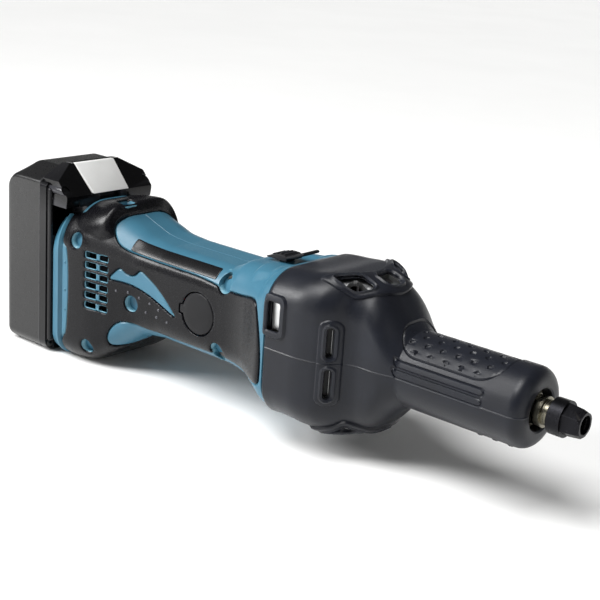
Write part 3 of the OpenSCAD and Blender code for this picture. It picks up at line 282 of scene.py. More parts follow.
def sliceSkin(skin, field, level):
    points, faces = skin
    values = field(points) - level
    values[np.abs(values) < 0.07] = 0  # a point this near the outline lies on it, so no slivers are cut
    flat, _, starts = loopsOf(faces)
    mixed = (np.minimum.reduceat(values[flat], starts) < 0) & (np.maximum.reduceat(values[flat], starts) > 0)
    if not mixed.any():
        return skin
    cuts, extra = {}, []

    def cutBetween(a, b):
        a, b = min(a, b), max(a, b)
        if (a, b) not in cuts:
            cuts[a, b] = len(points) + len(extra)
            step = points[b] - points[a]
            share = values[a] / (values[a] - values[b])
            # no mixing across the back of the ring
            extra.append(points[a] + np.where(np.abs(step) > 60, 0, step * share))
        return cuts[a, b]

    def split(face):
        signs = [k for k in np.sign(values[list(face)]) if k]
        turns = sum(signs[k] != signs[k - 1] for k in range(len(signs)))
        if turns == 0:
            return [face]
        if turns > 2:
            return [part for k in range(1, len(face) - 1) for part in split((face[0], face[k], face[k + 1]))]
        low, high = [], []
        for k, a in enumerate(face):
            b = face[(k + 1) % len(face)]
            if values[a] <= 0:
                low.append(a)
            if values[a] >= 0:
                high.append(a)
            if values[a] * values[b] < 0:
                middle = cutBetween(a, b)
                low.append(middle)
                high.append(middle)
        return [tuple(low), tuple(high)]

    result = [face for face, cut in zip(faces, mixed) if not cut]
    for k in np.nonzero(mixed)[0]:
        result += split(faces[k])
    return np.concatenate([points, extra]) if extra else points, result


def facesWhere(skin, field, inside):
    points, faces = skin
    flat, _, starts = loopsOf(faces)
    values = field(points)[flat]
    # the corner farthest off the outline decides
    depth = np.minimum.reduceat(values, starts) + np.maximum.reduceat(values, starts)
    return points, [face for face, value in zip(faces, depth) if (value < 0) == inside]


def patchOf(skin, field, level=0):
    return facesWhere(sliceSkin(skin, field, level), lambda p: field(p) - level, True)


def pointNormals(skin):
    points, faces = skin
    flat, sizes, starts = loopsOf(faces)
    after = np.arange(len(flat)) + 1
    after[starts + sizes - 1] = starts
    area = np.add.reduceat(np.cross(points[flat, :3], points[flat[after], :3]), starts)
    normals = np.zeros((len(points), 3))
    np.add.at(normals, flat, np.repeat(area, sizes, axis=0))
    return normals / np.maximum(np.linalg.norm(normals, axis=1, keepdims=True), 1e-9)


# A feature is (field, levels, heights) with an optional direction. The skin is cut at each level first, a hole is
# where a field is below its level, and the rest then moves along its normal or the direction
def shapeSkin(skin, features, holes=(), reshape=None):
    for field, levels, *_ in list(features) + [(field, [level]) for field, level in holes]:
        for level in levels:
            skin = sliceSkin(skin, field, level)
    for field, level in holes:
        skin = facesWhere(skin, lambda p: field(p) - level, False)
    normals = pointNormals(skin)
    points, faces = skin
    moved = points.copy()
    for field, levels, heights, *direction in features:
        way = np.array(direction[0]) if direction else normals
        moved[:, :3] += np.interp(field(points), levels, heights)[:, None] * way
    return (reshape(points, moved) if reshape else moved), faces


def showMesh(name, mesh, sharp=32):
    mesh.shade_smooth()
    mesh.set_sharp_from_angle(angle=math.radians(sharp))
    return addObject(name, mesh)


# A piece has its slot's finish unless another is given
def fitPiece(piece, body, slot, *nodes, finish=None):
    paintMesh(piece.data, finish or slot)
    if nodes:
        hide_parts(*nodes)
    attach(piece, body)


def makePiece(name, skin, sharp=32, wall=0.0):
    points, faces = skin
    used = np.unique(np.fromiter(chain.from_iterable(faces), int))
    place = np.zeros(len(points), int)
    place[used] = np.arange(len(used))
    mesh = bpy.data.meshes.new(name)
    mesh.from_pydata((points[used, :3] / 1000).tolist(), [], [tuple(place[list(face)]) for face in faces])
    mesh.validate()
    piece = showMesh(name, mesh, sharp)
    if wall:
        thick = piece.modifiers.new("wall", "SOLIDIFY")
        thick.thickness = wall / 1000
        thick.offset = -1
    return piece


# Outline fields: negative inside, in millimetres
def boxField(u, v, halfU, halfV, corner):
    du, dv = np.abs(u) - halfU + corner, np.abs(v) - halfV + corner
    return np.hypot(np.maximum(du, 0), np.maximum(dv, 0)) + np.minimum(np.maximum(du, dv), 0) - corner


def outlineField(u, v, corners):
    best, inside = np.full(len(u), 1e9), np.zeros(len(u), bool)
    for (au, av), (bu, bv) in zip(corners, corners[1:] + corners[:1]):
        eu, ev = bu - au, bv - av
        share = np.clip(((u - au) * eu + (v - av) * ev) / (eu * eu + ev * ev), 0, 1)
        best = np.minimum(best, (u - au - eu * share) ** 2 + (v - av - ev * share) ** 2)
        crossing = (av > v) != (bv > v)
        inside ^= crossing & (u < au + (v - av) * eu / (ev if ev else 1e-9))
    return np.where(inside, -1, 1) * np.sqrt(best)


def softened(corners, rounds):
    for _ in range(rounds):
        corners = [(a[0] + (b[0] - a[0]) * t, a[1] + (b[1] - a[1]) * t)
                   for a, b in zip(corners, corners[1:] + corners[:1]) for t in (0.25, 0.75)]
    return corners


# Off the chosen points, an outline counts as far away
def only(chosen, values):
    return np.where(chosen, values, 60.0)


def onFlanks(points, values, clear):
    return only(np.abs(points[:, 1]) > clear, values)


# The rubber boot and its long neck
boot = {
    "length": 74.5, "neckRadius": 21.3, "noseRound": 7.0, "noseHole": 11.2, "around": 224, "step": 1.5, "flank": 20,
    # share of the length from the rear, half width, half height, corner
    "sections": [(0, 39.3, 40.8, 19), (0.02, 40.5, 42, 20), (0.25, 40.5, 43.4, 20), (0.43, 38.1, 44.9, 21),
                 (0.53, 33.3, 44.9, 21), (0.62, 26.6, 43.6, 21), (0.72, 24.5, 41.4, 21), (0.8, 24.5, 37.2, 21),
                 (0.86, 24.18, 32.2, 21), (0.92, 23.2, 26.4, 21), (1, 21.3, 21.3, 21.3)],
    # share of the length, how much less the underside reaches
    "lowShort": [(0, 0), (0.1, 1.6), (0.6, 2), (0.85, 1), (1, 0)],
    "rearRoll": [(1.2, 4, 16), (0, 3, 17), (0, 0.6, 19), (0.5, -0.4, 19)],  # how far forward, how much smaller, corner
    "noseMouth": [(0, 0.8), (0.6, 0), (6, 0)],  # how far in, how much wider than the hole
    # windows on a bent line inside a raised frame: half length, half width, corner
    "windowX": bootRear + 50.5, "windowBend": 0.021, "bendReach": 32, "windowPitch": 19, "window": (4.8, 6, 2.6),
    "frameMargin": 4.6, "frameRise": 1.6, "frameCorner": 6,
    # slots and ports in the flanks: x, z, half length, half height, corner
    "slot": (bootRear + 39.8, 11.5, 1.6, 9, 2.4), "slotDeep": 3.6, "slotFloor": 3.5, "bossMargin": 3.6, "bossCorner": 5,
    "port": (bootRear + 6.75, 18.75, 6.75, 10.25, 3),
    # pad on top: x, half length, half width, corner. Strips beside it: x, half length, half width
    "pad": (-67.5, 31.5, 21.5, 14), "padSink": 0.55, "strip": (-69, 27, 1.9), "stripTurns": (26.2, 31.4),
    "dimplePitch": 9.4, "dimpleRow": 0.62, "dimpleX": -92, "dimpleMargin": 3.6, "dimpleRadius": 1.9,
    # under the nose: first behind the tip, pitch, last, half length, half width, corner
    "ridges": (12, 9, 2, 2.4, 7, 2.2)}


def bootStations():
    xs = np.arange(bootRear + 0.02 * boot["length"], bootRear + boot["length"], boot["step"])
    share = (xs - bootRear) / boot["length"]
    half, high, corner = alongRows(boot["sections"], share)
    short = np.interp(share, *zip(*boot["lowShort"]))
    wide, tall = boot["sections"][0][1:3]
    stations = [(bootRear + x, wide - less, tall - less, tall - less, r, r) for x, less, r in boot["rearRoll"]]
    stations += [(x, w, h, h - less, r, r) for x, w, h, less, r in zip(xs, half, high, short, corner)]
    neck, turn = boot["neckRadius"], boot["noseRound"]
    rounds = [(x, neck) for x in np.arange(bootRear + boot["length"], noseEnd - turn, 2.0)]
    rounds += [(noseEnd - turn + turn * math.sin(angle), neck - turn + turn * math.cos(angle))
               for angle in np.radians(np.linspace(0, 90, 9))]
    rounds += [(noseEnd - x, boot["noseHole"] + more) for x, more in boot["noseMouth"]]
    return stations + [(x,) + (r,) * 5 for x, r in rounds]


def fromWindows(points):
    across = np.minimum(np.abs(points[:, 3]), np.abs(points[:, 4]))
    return points[:, 0] - boot["windowX"] + boot["windowBend"] * np.minimum(across, boot["bendReach"]) ** 2, across


def windowField(points):
    along, across = fromWindows(points)
    return boxField(along, np.minimum(across, np.abs(across - boot["windowPitch"])), *boot["window"])


def frameField(points):
    along, across = fromWindows(points)
    long, wide, _ = boot["window"]
    margin = boot["frameMargin"]
    return boxField(along, across, long + margin, boot["windowPitch"] + wide + margin, boot["frameCorner"])


def slotField(points):
    x, z, *sizes = boot["slot"]
    return onFlanks(points, boxField(points[:, 0] - x, np.abs(points[:, 2]) - z, *sizes), boot["flank"])


def bossField(points):
    x, z, long, high, _ = boot["slot"]
    margin = boot["bossMargin"]
    flat = boxField(points[:, 0] - x, points[:, 2], long + margin, z + high + margin, boot["bossCorner"])
    return onFlanks(points, flat, boot["flank"])


def portField(points):
    x, z, *sizes = boot["port"]
    return onFlanks(points, boxField(points[:, 0] - x, points[:, 2] - z, *sizes), boot["flank"])


def seamField(points):
    return only(np.abs(points[:, 3]) > boot["flank"], np.abs(points[:, 2]))


def padField(points):
    x, *sizes = boot["pad"]
    return boxField(points[:, 0] - x, points[:, 3], *sizes)


def dimpleField(points):
    pitch, rowPitch = boot["dimplePitch"], boot["dimplePitch"] * boot["dimpleRow"]
    row = np.round(points[:, 3] / rowPitch)
    x = points[:, 0] - boot["dimpleX"] - np.mod(row, 2) * pitch / 2
    flat = np.hypot(x - np.round(x / pitch) * pitch, points[:, 3] - row * rowPitch) - boot["dimpleRadius"]
    return np.where(padField(points) < -boot["dimpleMargin"], flat, 20)


def stripField(points):
    x, long, thin = boot["strip"]
    around = np.abs(points[:, 3])
    return np.minimum.reduce([
        boxField(points[:, 0] - x, around - place, long, thin, thin) for place in boot["stripTurns"]])


def ridgeField(points):
    first, pitch, last, long, wide, corner = boot["ridges"]
    x = points[:, 0] - noseEnd + first
    nearest = np.clip(np.round(-x / pitch), 0, last)
    return boxField(x + nearest * pitch, points[:, 4], long, wide, corner)


plainBoot = makeSkin(bootStations(), boot["around"])
bootSkin = shapeSkin(plainBoot, [
    (frameField, [-1.4, -0.5, 0], [boot["frameRise"], boot["frameRise"] * 0.8, 0]),
    (windowField, [0, 1.1, 2.0], [-0.4, 0.8, 0]),
    (bossField, [-1.5, -0.6, 0], [1.1, 0.8, 0]),
    (slotField, [-0.5, 0, 1.0, 1.9], [-boot["slotDeep"], 0.2, 0.8, 0]),
    (portField, [-2.4, -1.5, 0.8, 1.9], [0.6, 1.5, 1.5, 0]),
    (seamField, [0, 0.45], [0.3, 0]),
    (padField, [-1.6, -0.8, 0], [-boot["padSink"], -boot["padSink"] - 0.45, 0]),
    (dimpleField, [-1.3, -0.5, 0], [-1.0, -0.75, 0]),
    (stripField, [-0.7, 0, 0.7], [0, -0.7, 0]),
    (ridgeField, [-1.2, 0], [0.9, 0])], holes=[(windowField, 0), (portField, -2.4), (slotField, -0.5)])
fitPiece(makePiece("rubberBoot", bootSkin, wall=2.6), "housing", "boot_rubber", "rubber_boot")
# Dark floors sunk in the boot's slots, painted shade standing in for the shaded inside
slotSkin = shapeSkin(patchOf(plainBoot, slotField), [(slotField, [-0.3, 0], [-boot["slotFloor"]] * 2)])
fitPiece(makePiece("slotFloorsPaintedShade", slotSkin, wall=0.6), "housing", "boot_rubber", finish="black_plastic")
print("boot:", len(bootSkin[1]), "faces")


# The handle: hard shell and soft grip are cut from one skin, so their edges meet
handle = {
    "around": 240, "step": 1.5, "half": 27, "high": 29, "corner": 16, "flank": 15, "upper": 15,
    "collar": (39.6, 41, 40.5, 20), "bell": (35, 43.5, 57.3, 29, 14),  # half width, top, bottom, corners
    # share of the collar or bell from the grip, then shares of the growth in width, top and bottom
    "collarShares": [(0, 0, 0, 0), (0.15, 0.03, 0.3, 0.03), (0.26, 0.08, 0.53, 0.08), (0.45, 0.25, 0.58, 0.2),
                     (0.62, 0.5, 0.62, 0.45), (0.79, 0.78, 0.64, 0.75), (0.9, 0.94, 0.9, 0.94), (1, 1, 1, 1)],
    "bellShares": [(0, 0, 0, 0), (0.18, 0.1, 0.1, 0.07), (0.32, 0.33, 0.35, 0.33), (0.48, 0.66, 0.68, 0.69),
                   (0.65, 0.92, 1, 0.945), (0.83, 1, 0.97, 1), (1, 1, 0.62, 1)],
    # rims at the rear and the front: how far in, how much smaller
    "rearRim": [(2, 2.4), (0, 2.2), (0, 0.5), (0.5, 0)], "frontRim": [(0.1, 0.5), (0, 1.2), (0, 4), (2, 5)],
    "turnScale": 0.6,  # millimetres of girth for a degree from the top
    # soft grip: x, degrees from the top
    "gripOutline": [
        (-308.6, -30), (-308.6, 20), (-309.4, 30), (-308.4, 36), (-305, 42), (-301, 47), (-296, 49.5), (-289, 50),
        (-240, 50), (-225, 51.5), (-212, 55), (-198.6, 56.4), (-187, 56.6), (-181.4, 57.2), (-177.2, 62),
        (-175, 72), (-173, 84), (-171.6, 98), (-171.1, 112), (-171.6, 122), (-187, 128), (-200, 131.5), (-216, 134),
        (-240, 134.5), (-268, 134.5), (-277, 133), (-286, 128.5), (-293.6, 126), (-302, 131), (-306, 139),
        (-305.3, 146), (-300, 152.2), (-295, 161), (-289, 175), (-288, 210), (gripEdge, 210), (gripEdge, 146),
        (gripEdge + 1, 141), (-338.5, 138), (-338.5, 68), (gripEdge + 1, 64), (gripEdge, 60), (gripEdge, 37),
        (gripEdge + 1, 35), (-334.4, 33.5), (-334.4, 30), (-334.4, -30)],
    # hard inlay: x, z
    "crescent": [(-306, 2.5), (-296.5, 12.2), (-294.4, 10.2), (-291, 8.6), (-287.5, 8.3), (-284.4, 9.6), (-282.3, 12),
                 (-280, 13.3), (-270.6, 8.6), (-263.7, 4.1), (-257, -1.2), (-248.2, -9.8), (-263.4, -4), (-276, 0.4),
                 (-288, 2.6), (-297, 3)],
    # screw wells: x, z, radius
    "wells": [(gripFront + 3.5, 21.8, 5.7), (gripFront - 0.5, -20.5, 5.6), (gripRear - 19.5, -9.2, 5),
              (gripRear - 64.5, 21.5, 5), (gripRear - 54, -45, 4.6)], "wellDepth": 7, "wellFloor": 4.2,
    # shoulders beside the switch, screw pocket in the hood, and the bay: x, y, half length, half width, corner
    "shoulder": (-183, 20, 10, 9, 5), "pocket": (-315.6, -8, 4, 4.6, 1.4), "bay": (-368.3, 0, 30, 25, 0.5),
    "shoulderRise": 1.8, "pocketDeep": 3.6,
    # vents: half length, half height and corner of a slot, then each hole's place, half length and half height
    "ventX": gripRear - 46.4, "ventLow": -17.2, "ventPitch": 6.4, "ventRows": 6, "ventSlot": (9.6, 2.5, 1.2),
    "ventHoles": [(-4.4, 4.8, 2.25), (5.7, 3.4, 2.25)], "holeCorner": 0.7, "ventPatch": (1.2, 11.5, 20, 3),
    # ring and groove beside the flange: how far off the grip's edge, half width, then the ring's height
    "bead": (2.9, 1.3, 1.2), "groove": (0.4, 0.8),
    # raised pips under the inlay and studs on the flange: x, z. Then their radius and height
    "pips": [(-298.4, -3.3), (-288.7, -2.1), (-280, -3.6), (-271.7, -5), (-263.1, -7.2), (-273.9, -10.9),
             (-265.5, -12.2), (-255.9, -12.5)], "flangeStuds": [(-341.6, 6), (-341.6, -12), (-341.6, -26)],
    "pipSize": (0.9, 0.7), "studSize": (1.0, 0.6),
    "cover": (-231.4, -1), "coverRadius": 13.3, "coverTab": (-13.2, 2.4, 3.4, 0.5), "coverGap": 0.55,
    # hood over the pack's end: x, half width, top, corner. Its ramp: off the grip's edge, share of the rise
    "hood": [(gripEdge - 1, 31, 37, 24), (-338.5, 32, 41.8, 22), (gripEdge + 13, 32.3, 43.8, 22),
             (-314.8, 30.5, 46, 18), (-305.8, 27, 46, 16)],
    "hoodRamp": ([-4, -2.2, -0.9, 0, 1.5], [1, 0.85, 0.35, 0.07, 0]), "hoodFull": -330,
    "hoodFade": ([-306, -295], [1, 0]), "hoodFoot": 6, "hoodLow": 60,
    "label": (-256, 41.2, 35, 7.2)}  # x, degrees from the top, half of each span


def handleStations():
    stations = []
    for x in np.append(np.arange(flangeX, collarX - 0.4, handle["step"]), collarX - 0.4):
        if x < gripRear:
            half, top, low, cornerTop, cornerLow = handle["bell"]
            shares, place = handle["bellShares"], (gripRear - x) / (gripRear - flangeX)
        else:
            half, top, low, cornerTop = handle["collar"]
            cornerLow, shares = cornerTop, handle["collarShares"]
            place = max(0, (x - gripFront) / (collarX - gripFront))
        wide, up, down = map(float, alongRows(shares, np.array(place)))
        base, high, corner = handle["half"], handle["high"], handle["corner"]
        stations.append((x, base + (half - base) * wide, high + (top - high) * up, high + (low - high) * down,
                         corner + (cornerTop - corner) * wide, corner + (cornerLow - corner) * wide))
    rear, front = stations[0][1:], stations[-1][1:]
    rearRim = [(flangeX + x,) + tuple(value - less for value in rear) for x, less in handle["rearRim"]]
    frontRim = [(collarX - x,) + tuple(value - less for value in front) for x, less in handle["frontRim"]]
    return rearRim + stations[1:] + frontRim


def turnOf(points):
    return np.degrees(np.arctan2(np.abs(points[:, 1]), points[:, 2])) * handle["turnScale"]


gripCorners = softened([(x, turn * handle["turnScale"]) for x, turn in handle["gripOutline"]], 2)
crescentCorners = softened(handle["crescent"], 1)


def gripField(points):
    return outlineField(points[:, 0], turnOf(points), gripCorners)


def crescentField(points):
    return onFlanks(points, outlineField(points[:, 0], points[:, 2], crescentCorners), handle["flank"])


def wellField(points):
    x, y, z = points.T[:3]
    return only(y < 0, np.minimum.reduce([np.hypot(x - wellX, z - wellZ) - r for wellX, wellZ, r in handle["wells"]]))


def fromVentRow(points):
    row = np.clip(np.round((points[:, 2] - handle["ventLow"]) / handle["ventPitch"]), 0, handle["ventRows"] - 1)
    return points[:, 0] - handle["ventX"], points[:, 2] - handle["ventLow"] - row * handle["ventPitch"]


def ventField(points):
    return onFlanks(points, boxField(*fromVentRow(points), *handle["ventSlot"]), handle["flank"])


def ventHoleField(points):
    x, z = fromVentRow(points)
    holes = [boxField(x - at, z, long, high, handle["holeCorner"]) for at, long, high in handle["ventHoles"]]
    return onFlanks(points, np.minimum.reduce(holes), handle["flank"])


def ventPatchField(points):
    lower, *sizes = handle["ventPatch"]
    return onFlanks(points, boxField(points[:, 0] - handle["ventX"], points[:, 2] + lower, *sizes), handle["flank"])


def topField(points, across, outline):
    x, y, *sizes = outline
    return only(points[:, 2] > handle["upper"], boxField(points[:, 0] - x, across - y, *sizes))


def pocketField(points):
    return topField(points, points[:, 1], handle["pocket"])


def shoulderField(points):
    return topField(points, np.abs(points[:, 1]), handle["shoulder"])


def bayField(points):
    return topField(points, points[:, 1], handle["bay"])


def coverField(points):
    x, z = points[:, 0] - handle["cover"][0], points[:, 2] - handle["cover"][1]
    tabX, *tab = handle["coverTab"]
    flat = np.minimum(np.hypot(x, z) - handle["coverRadius"], boxField(x - tabX, z, *tab))
    return onFlanks(points, flat, handle["flank"])


def softField(points):
    return np.maximum.reduce([gripField(points), -crescentField(points), -wellField(points), -pocketField(points)])


def labelField(points):
    x, turn, long, wide = handle["label"]
    scale = handle["turnScale"]
    flat = boxField(points[:, 0] - x, turnOf(points) - turn * scale, long, wide * scale, 0.7)
    return only(points[:, 1] < 0, flat)


def partingField(points):
    return only(points[:, 0] < collarX - 3, np.abs(points[:, 1]))


def grooveField(points):
    return np.abs(points[:, 0] - gripEdge + handle["groove"][0]) - handle["groove"][1]


def beadField(points):
    return np.abs(points[:, 0] - gripEdge + handle["bead"][0]) - handle["bead"][1]


# The hood stands up over the pack's end, and both skins flare up to it
def raiseHood(points, moved):
    rows = handle["hood"]
    half, top, corner = alongRows(rows, np.clip(points[:, 0], rows[0][0], rows[-1][0]))
    angle, radius = np.arctan2(points[:, 2], points[:, 1]), np.hypot(points[:, 1], points[:, 2])
    wanted = ringRadius(angle, half, top, handle["hoodLow"], corner, corner)
    ramp = np.where(points[:, 0] < handle["hoodFull"], 1, np.interp(gripField(points), *handle["hoodRamp"]))
    ramp *= np.interp(points[:, 0], *handle["hoodFade"]) * np.clip(points[:, 2] / handle["hoodFoot"], 0, 1)
    raised = moved.copy()
    raised[:, 1:3] += points[:, 1:3] * (np.maximum(wanted - radius, 0) * ramp / radius)[:, None]
    return raised


handleSkin = sliceSkin(makeSkin(handleStations(), handle["around"]), softField, 0)
hardSkin = shapeSkin(facesWhere(handleSkin, softField, False), [
    (softField, [0, 0.9], [-0.8, 0]),
    (partingField, [0, 0.25], [-0.25, 0]),
    (grooveField, [-0.3, 0.3], [-1.6, 0]),
    (beadField, [-0.6, 0], [handle["bead"][2], 0]),
    (shoulderField, [-3.5, 0], [handle["shoulderRise"], 0], (0, 0, 1)),
    (pocketField, [-0.4, 0], [-handle["pocketDeep"], 0], (0, 0, 1)),
    (wellField, [-0.35, 0], [handle["wellDepth"], 0], (0, 1, 0))],
    holes=[(wellField, -0.35), (bayField, 0)], reshape=raiseHood)
shellPiece = makePiece("handleShell", hardSkin, wall=2.0)
fitPiece(shellPiece, "housing", "housing_plastic", "housing_left", "housing_right")
wellSkin = shapeSkin(patchOf(handleSkin, wellField), [(wellField, [-0.2, 0], [handle["wellFloor"]] * 2, (0, 1, 0))])
fitPiece(makePiece("wellFloors", wellSkin, wall=0.6), "housing", "housing_plastic")
print("handle shell:", len(hardSkin[1]), "faces")

softSkin = shapeSkin(facesWhere(handleSkin, softField, True), [
    (gripField, handle["hoodRamp"][0][:3], [0, 0, 0]),
    (softField, [-1.5, -0.6, 0], [0.55, 0.4, -0.5])],
    holes=[(ventField, 0), (coverField, 0), (bayField, 0)], reshape=raiseHood)
fitPiece(makePiece("softGrip", softSkin, wall=1.0), "housing", "soft_grip", "grip_left", "grip_right")
ventSkin = shapeSkin(patchOf(handleSkin, ventPatchField), [
    (ventField, [-0.9, 0.3], [0, -0.9]),
    (ventHoleField, [0, 0.7], [0.25, 0])], holes=[(ventHoleField, 0)])
fitPiece(makePiece("ventFrames", ventSkin, wall=0.8), "housing", "housing_plastic")
labelSkin = shapeSkin(patchOf(handleSkin, labelField), [(labelField, [-0.5, 0], [0.22, 0.12])])
fitPiece(makePiece("ratingLabelBare", labelSkin, wall=0.2), "housing", "label_film", "rating_plate")
coverSkin = shapeSkin(patchOf(handleSkin, coverField, -handle["coverGap"]), [
    (coverField, [-13, -4, -1.4, -handle["coverGap"]], [1.0, 0.75, 0.45, -0.3])])
coverPiece = makePiece("brushCovers", coverSkin, wall=1.6)
fitPiece(coverPiece, "housing", "black_plastic", "brush_cover_left", "brush_cover_right")
print("soft grip:", len(softSkin[1]), "faces")


# Small raised studs on a skin, set by Geometry Nodes on points that know which way is out
def makeStudTree():
    tree = bpy.data.node_groups.new("studsOnSkin", "GeometryNodeTree")
    tree.interface.new_socket("Geometry", in_out="OUTPUT", socket_type="NodeSocketGeometry")
    for label, kind in (("Geometry", "Geometry"), ("Stud Radius", "Float"), ("Stud Flatness", "Float")):
        tree.interface.new_socket(label, in_out="INPUT", socket_type="NodeSocket" + kind)
    given = addNode(tree, "NodeGroupInput", {})
    way = addNode(tree, "GeometryNodeInputNamedAttribute", {"data_type": "FLOAT_VECTOR", "Name": "outward"})
    turned = addNode(tree, "FunctionNodeAlignRotationToVector", {"axis": "Z", "Vector": way.outputs[0]})
    dome = addNode(tree, "GeometryNodeMeshIcoSphere", {"Subdivisions": 3, "Radius": given.outputs["Stud Radius"]})
    squat = addNode(tree, "ShaderNodeCombineXYZ", {"X": 1.0, "Y": 1.0, "Z": given.outputs["Stud Flatness"]})
    placed = addNode(tree, "GeometryNodeInstanceOnPoints", {
        "Points": given.outputs["Geometry"], "Instance": dome.outputs["Mesh"], "Rotation": turned.outputs[0],
        "Scale": squat.outputs[0]})
    real = addNode(tree, "GeometryNodeRealizeInstances", {"Geometry": placed.outputs[0]})
    smooth = addNode(tree, "GeometryNodeSetShadeSmooth", {"Geometry": real.outputs[0]})
    addNode(tree, "NodeGroupOutput", {"Geometry": smooth.outputs[0]})
    return tree


studTree = makeStudTree()


def setStuds(name, skin, places, sizes):
    points, normals = skin[0], pointNormals(skin)
    far = [100 * (points[:, 1] * side < 5) for side in (-1, 1)]  # keeps a search on its own side of the tool
    chosen = [int(np.argmin(np.hypot(points[:, 0] - x, points[:, 2] - z) + away)) for x, z in places for away in far]
    guide = bpy.data.meshes.new(name)
    guide.from_pydata((points[chosen, :3] / 1000).tolist(), [], [])
    guide.attributes.new("outward", "FLOAT_VECTOR", "POINT").data.foreach_set("vector", normals[chosen].ravel())
    holder = addObject(name, guide)
    setter = holder.modifiers.new("studs", "NODES")
    setter.node_group = studTree
    wanted = {"Stud Radius": sizes[0] / 1000, "Stud Flatness": sizes[1] / sizes[0]}
    for socket in studTree.interface.items_tree:
        if socket.in_out == "INPUT" and socket.name in wanted:
            setter[socket.identifier] = wanted[socket.name]
    return keepEvaluated(holder)


def keepEvaluated(piece):
    graph = bpy.context.evaluated_depsgraph_get()
    mesh = bpy.data.meshes.new_from_object(piece.evaluated_get(graph))
    piece.modifiers.clear()
    piece.data = mesh
    return piece


# The pips take the paler grey elastomer, a painted highlight on them
pips = setStuds("gripPips", softSkin, handle["pips"], handle["pipSize"])
fitPiece(pips, "housing", "soft_grip", finish="pip_highlight_grip")
studs = setStuds("flangeStuds", hardSkin, handle["flangeStuds"], handle["studSize"])
fitPiece(studs, "housing", "housing_plastic")
print("studs set")


# Solids with rounded edges: hulls of corner points, plates, and merged copies of CAD nodes
def boxCorners(low, high):
    return [(x, y, z) for x in (low[0], high[0]) for y in (low[1], high[1]) for z in (low[2], high[2])]


def addShape(work, shape, width):
    bmesh.ops.dissolve_limit(shape, angle_limit=0.01, verts=shape.verts, edges=shape.edges)
    bmesh.ops.recalc_face_normals(shape, faces=shape.faces)
    if width:
        bmesh.ops.bevel(shape, geom=shape.edges[:], offset=width / 1000, segments=3, profile=0.5, affect="EDGES",
                        clamp_overlap=True)
    part = bpy.data.meshes.new("part")
    shape.to_mesh(part)
    shape.free()
    work.from_mesh(part)
    bpy.data.meshes.remove(part)


def addHull(work, corners, width):
    shape = bmesh.new()
    for corner in corners:
        shape.verts.new(Vector(corner) / 1000)
    bmesh.ops.convex_hull(shape, input=shape.verts)
    addShape(work, shape, width)


# The same block on both sides of the tool. Away is its middle's y, and thick is half its thickness
def addPair(work, rear, front, away, thick, low, high, width):
    for side in (-1, 1):
        addHull(work, boxCorners((rear, side * away - thick, low), (front, side * away + thick, high)), width)


def addPlate(work, outline, rear, front, width):
    shape = bmesh.new()
    face = shape.faces.new([shape.verts.new(Vector((rear, y, z)) / 1000) for y, z in outline])
    grown = bmesh.ops.extrude_face_region(shape, geom=[face])["geom"]
    moving = [v for v in grown if isinstance(v, bmesh.types.BMVert)]
    bmesh.ops.translate(shape, vec=((front - rear) / 1000, 0, 0), verts=moving)
    addShape(work, shape, width)


def solidPiece(name, work):
    mesh = bpy.data.meshes.new(name)
    work.to_mesh(mesh)
    work.free()
    return showMesh(name, mesh)


def roundedCopy(name, node, width, cutter=None):
    work = bmesh.new()
    work.from_mesh(frame["nodes"][node].data)
    bmesh.ops.remove_doubles(work, verts=work.verts, dist=2e-6)
    bmesh.ops.dissolve_limit(work, angle_limit=math.radians(0.6), verts=work.verts, edges=work.edges)
    piece = solidPiece(name, work)
    if cutter:
        tool = piece.modifiers.new("cut", "BOOLEAN")
        tool.object = cutter
        keepEvaluated(piece)
        bpy.data.objects.remove(cutter)
    edge = piece.modifiers.new("edge", "BEVEL")
    edge.width, edge.segments, edge.limit_method, edge.angle_limit = width / 1000, 3, "ANGLE", math.radians(32)
    edge.harden_normals = True
    return piece


# The bay that the pack slides into, teal like the shell it belongs to
tray = {
    "rail": (-349.3, 21, 30), "floor": -46, "wall": 2.4, "bulkhead": (-338.3, -335.8), "plateInset": 2.6, "edge": 0.3,
    "bulkheadTop": [(26, 30), (24, 34.5), (20, 38.5), (9, 40.5), (9, 36.3)]}  # y, z, with the latch's notch


def bayTray():
    work = bmesh.new()
    railX, railY, railTop = tray["rail"]
    wide, low, wall = handle["bay"][3], tray["floor"], tray["wall"]
    fullRing = handleStations()[len(handle["rearRim"]) - 1]
    rim = [value - tray["plateInset"] for value in fullRing[1:]]
    angles = np.radians(np.arange(90, 450, 4))
    ring = [(r * math.cos(a), r * math.sin(a)) for r, a in zip(ringRadius(angles, *rim), angles)]
    outer = [(y, z) for y, z in ring if not (abs(y) < wide + 0.4 and z > 0)]
    left, right = outer[0][1], outer[-1][1]
    inner = [(wide, right), (wide, railTop), (railY, railTop), (railY, low)]
    inner += [(-railY, low), (-railY, railTop), (-wide, railTop), (-wide, left)]
    addPlate(work, outer + inner, flangeX + 0.4, railX, 0)
    rear, front = tray["bulkhead"]
    addPair(work, railX - 1, front, wide + wall / 2, wall / 2, low, railTop, tray["edge"])
    addHull(work, boxCorners((railX - 2, -wide - wall, low - wall), (front, wide + wall, low)), tray["edge"])
    upper = tray["bulkheadTop"]
    foot = [(-wide - 1, low - 1), (wide + 1, low - 1)]
    addPlate(work, foot + upper + [(-y, z) for y, z in reversed(upper)], rear, front, 0)
    return solidPiece("bayTray", work)


fitPiece(bayTray(), "housing", "housing_plastic")
print("bay made")


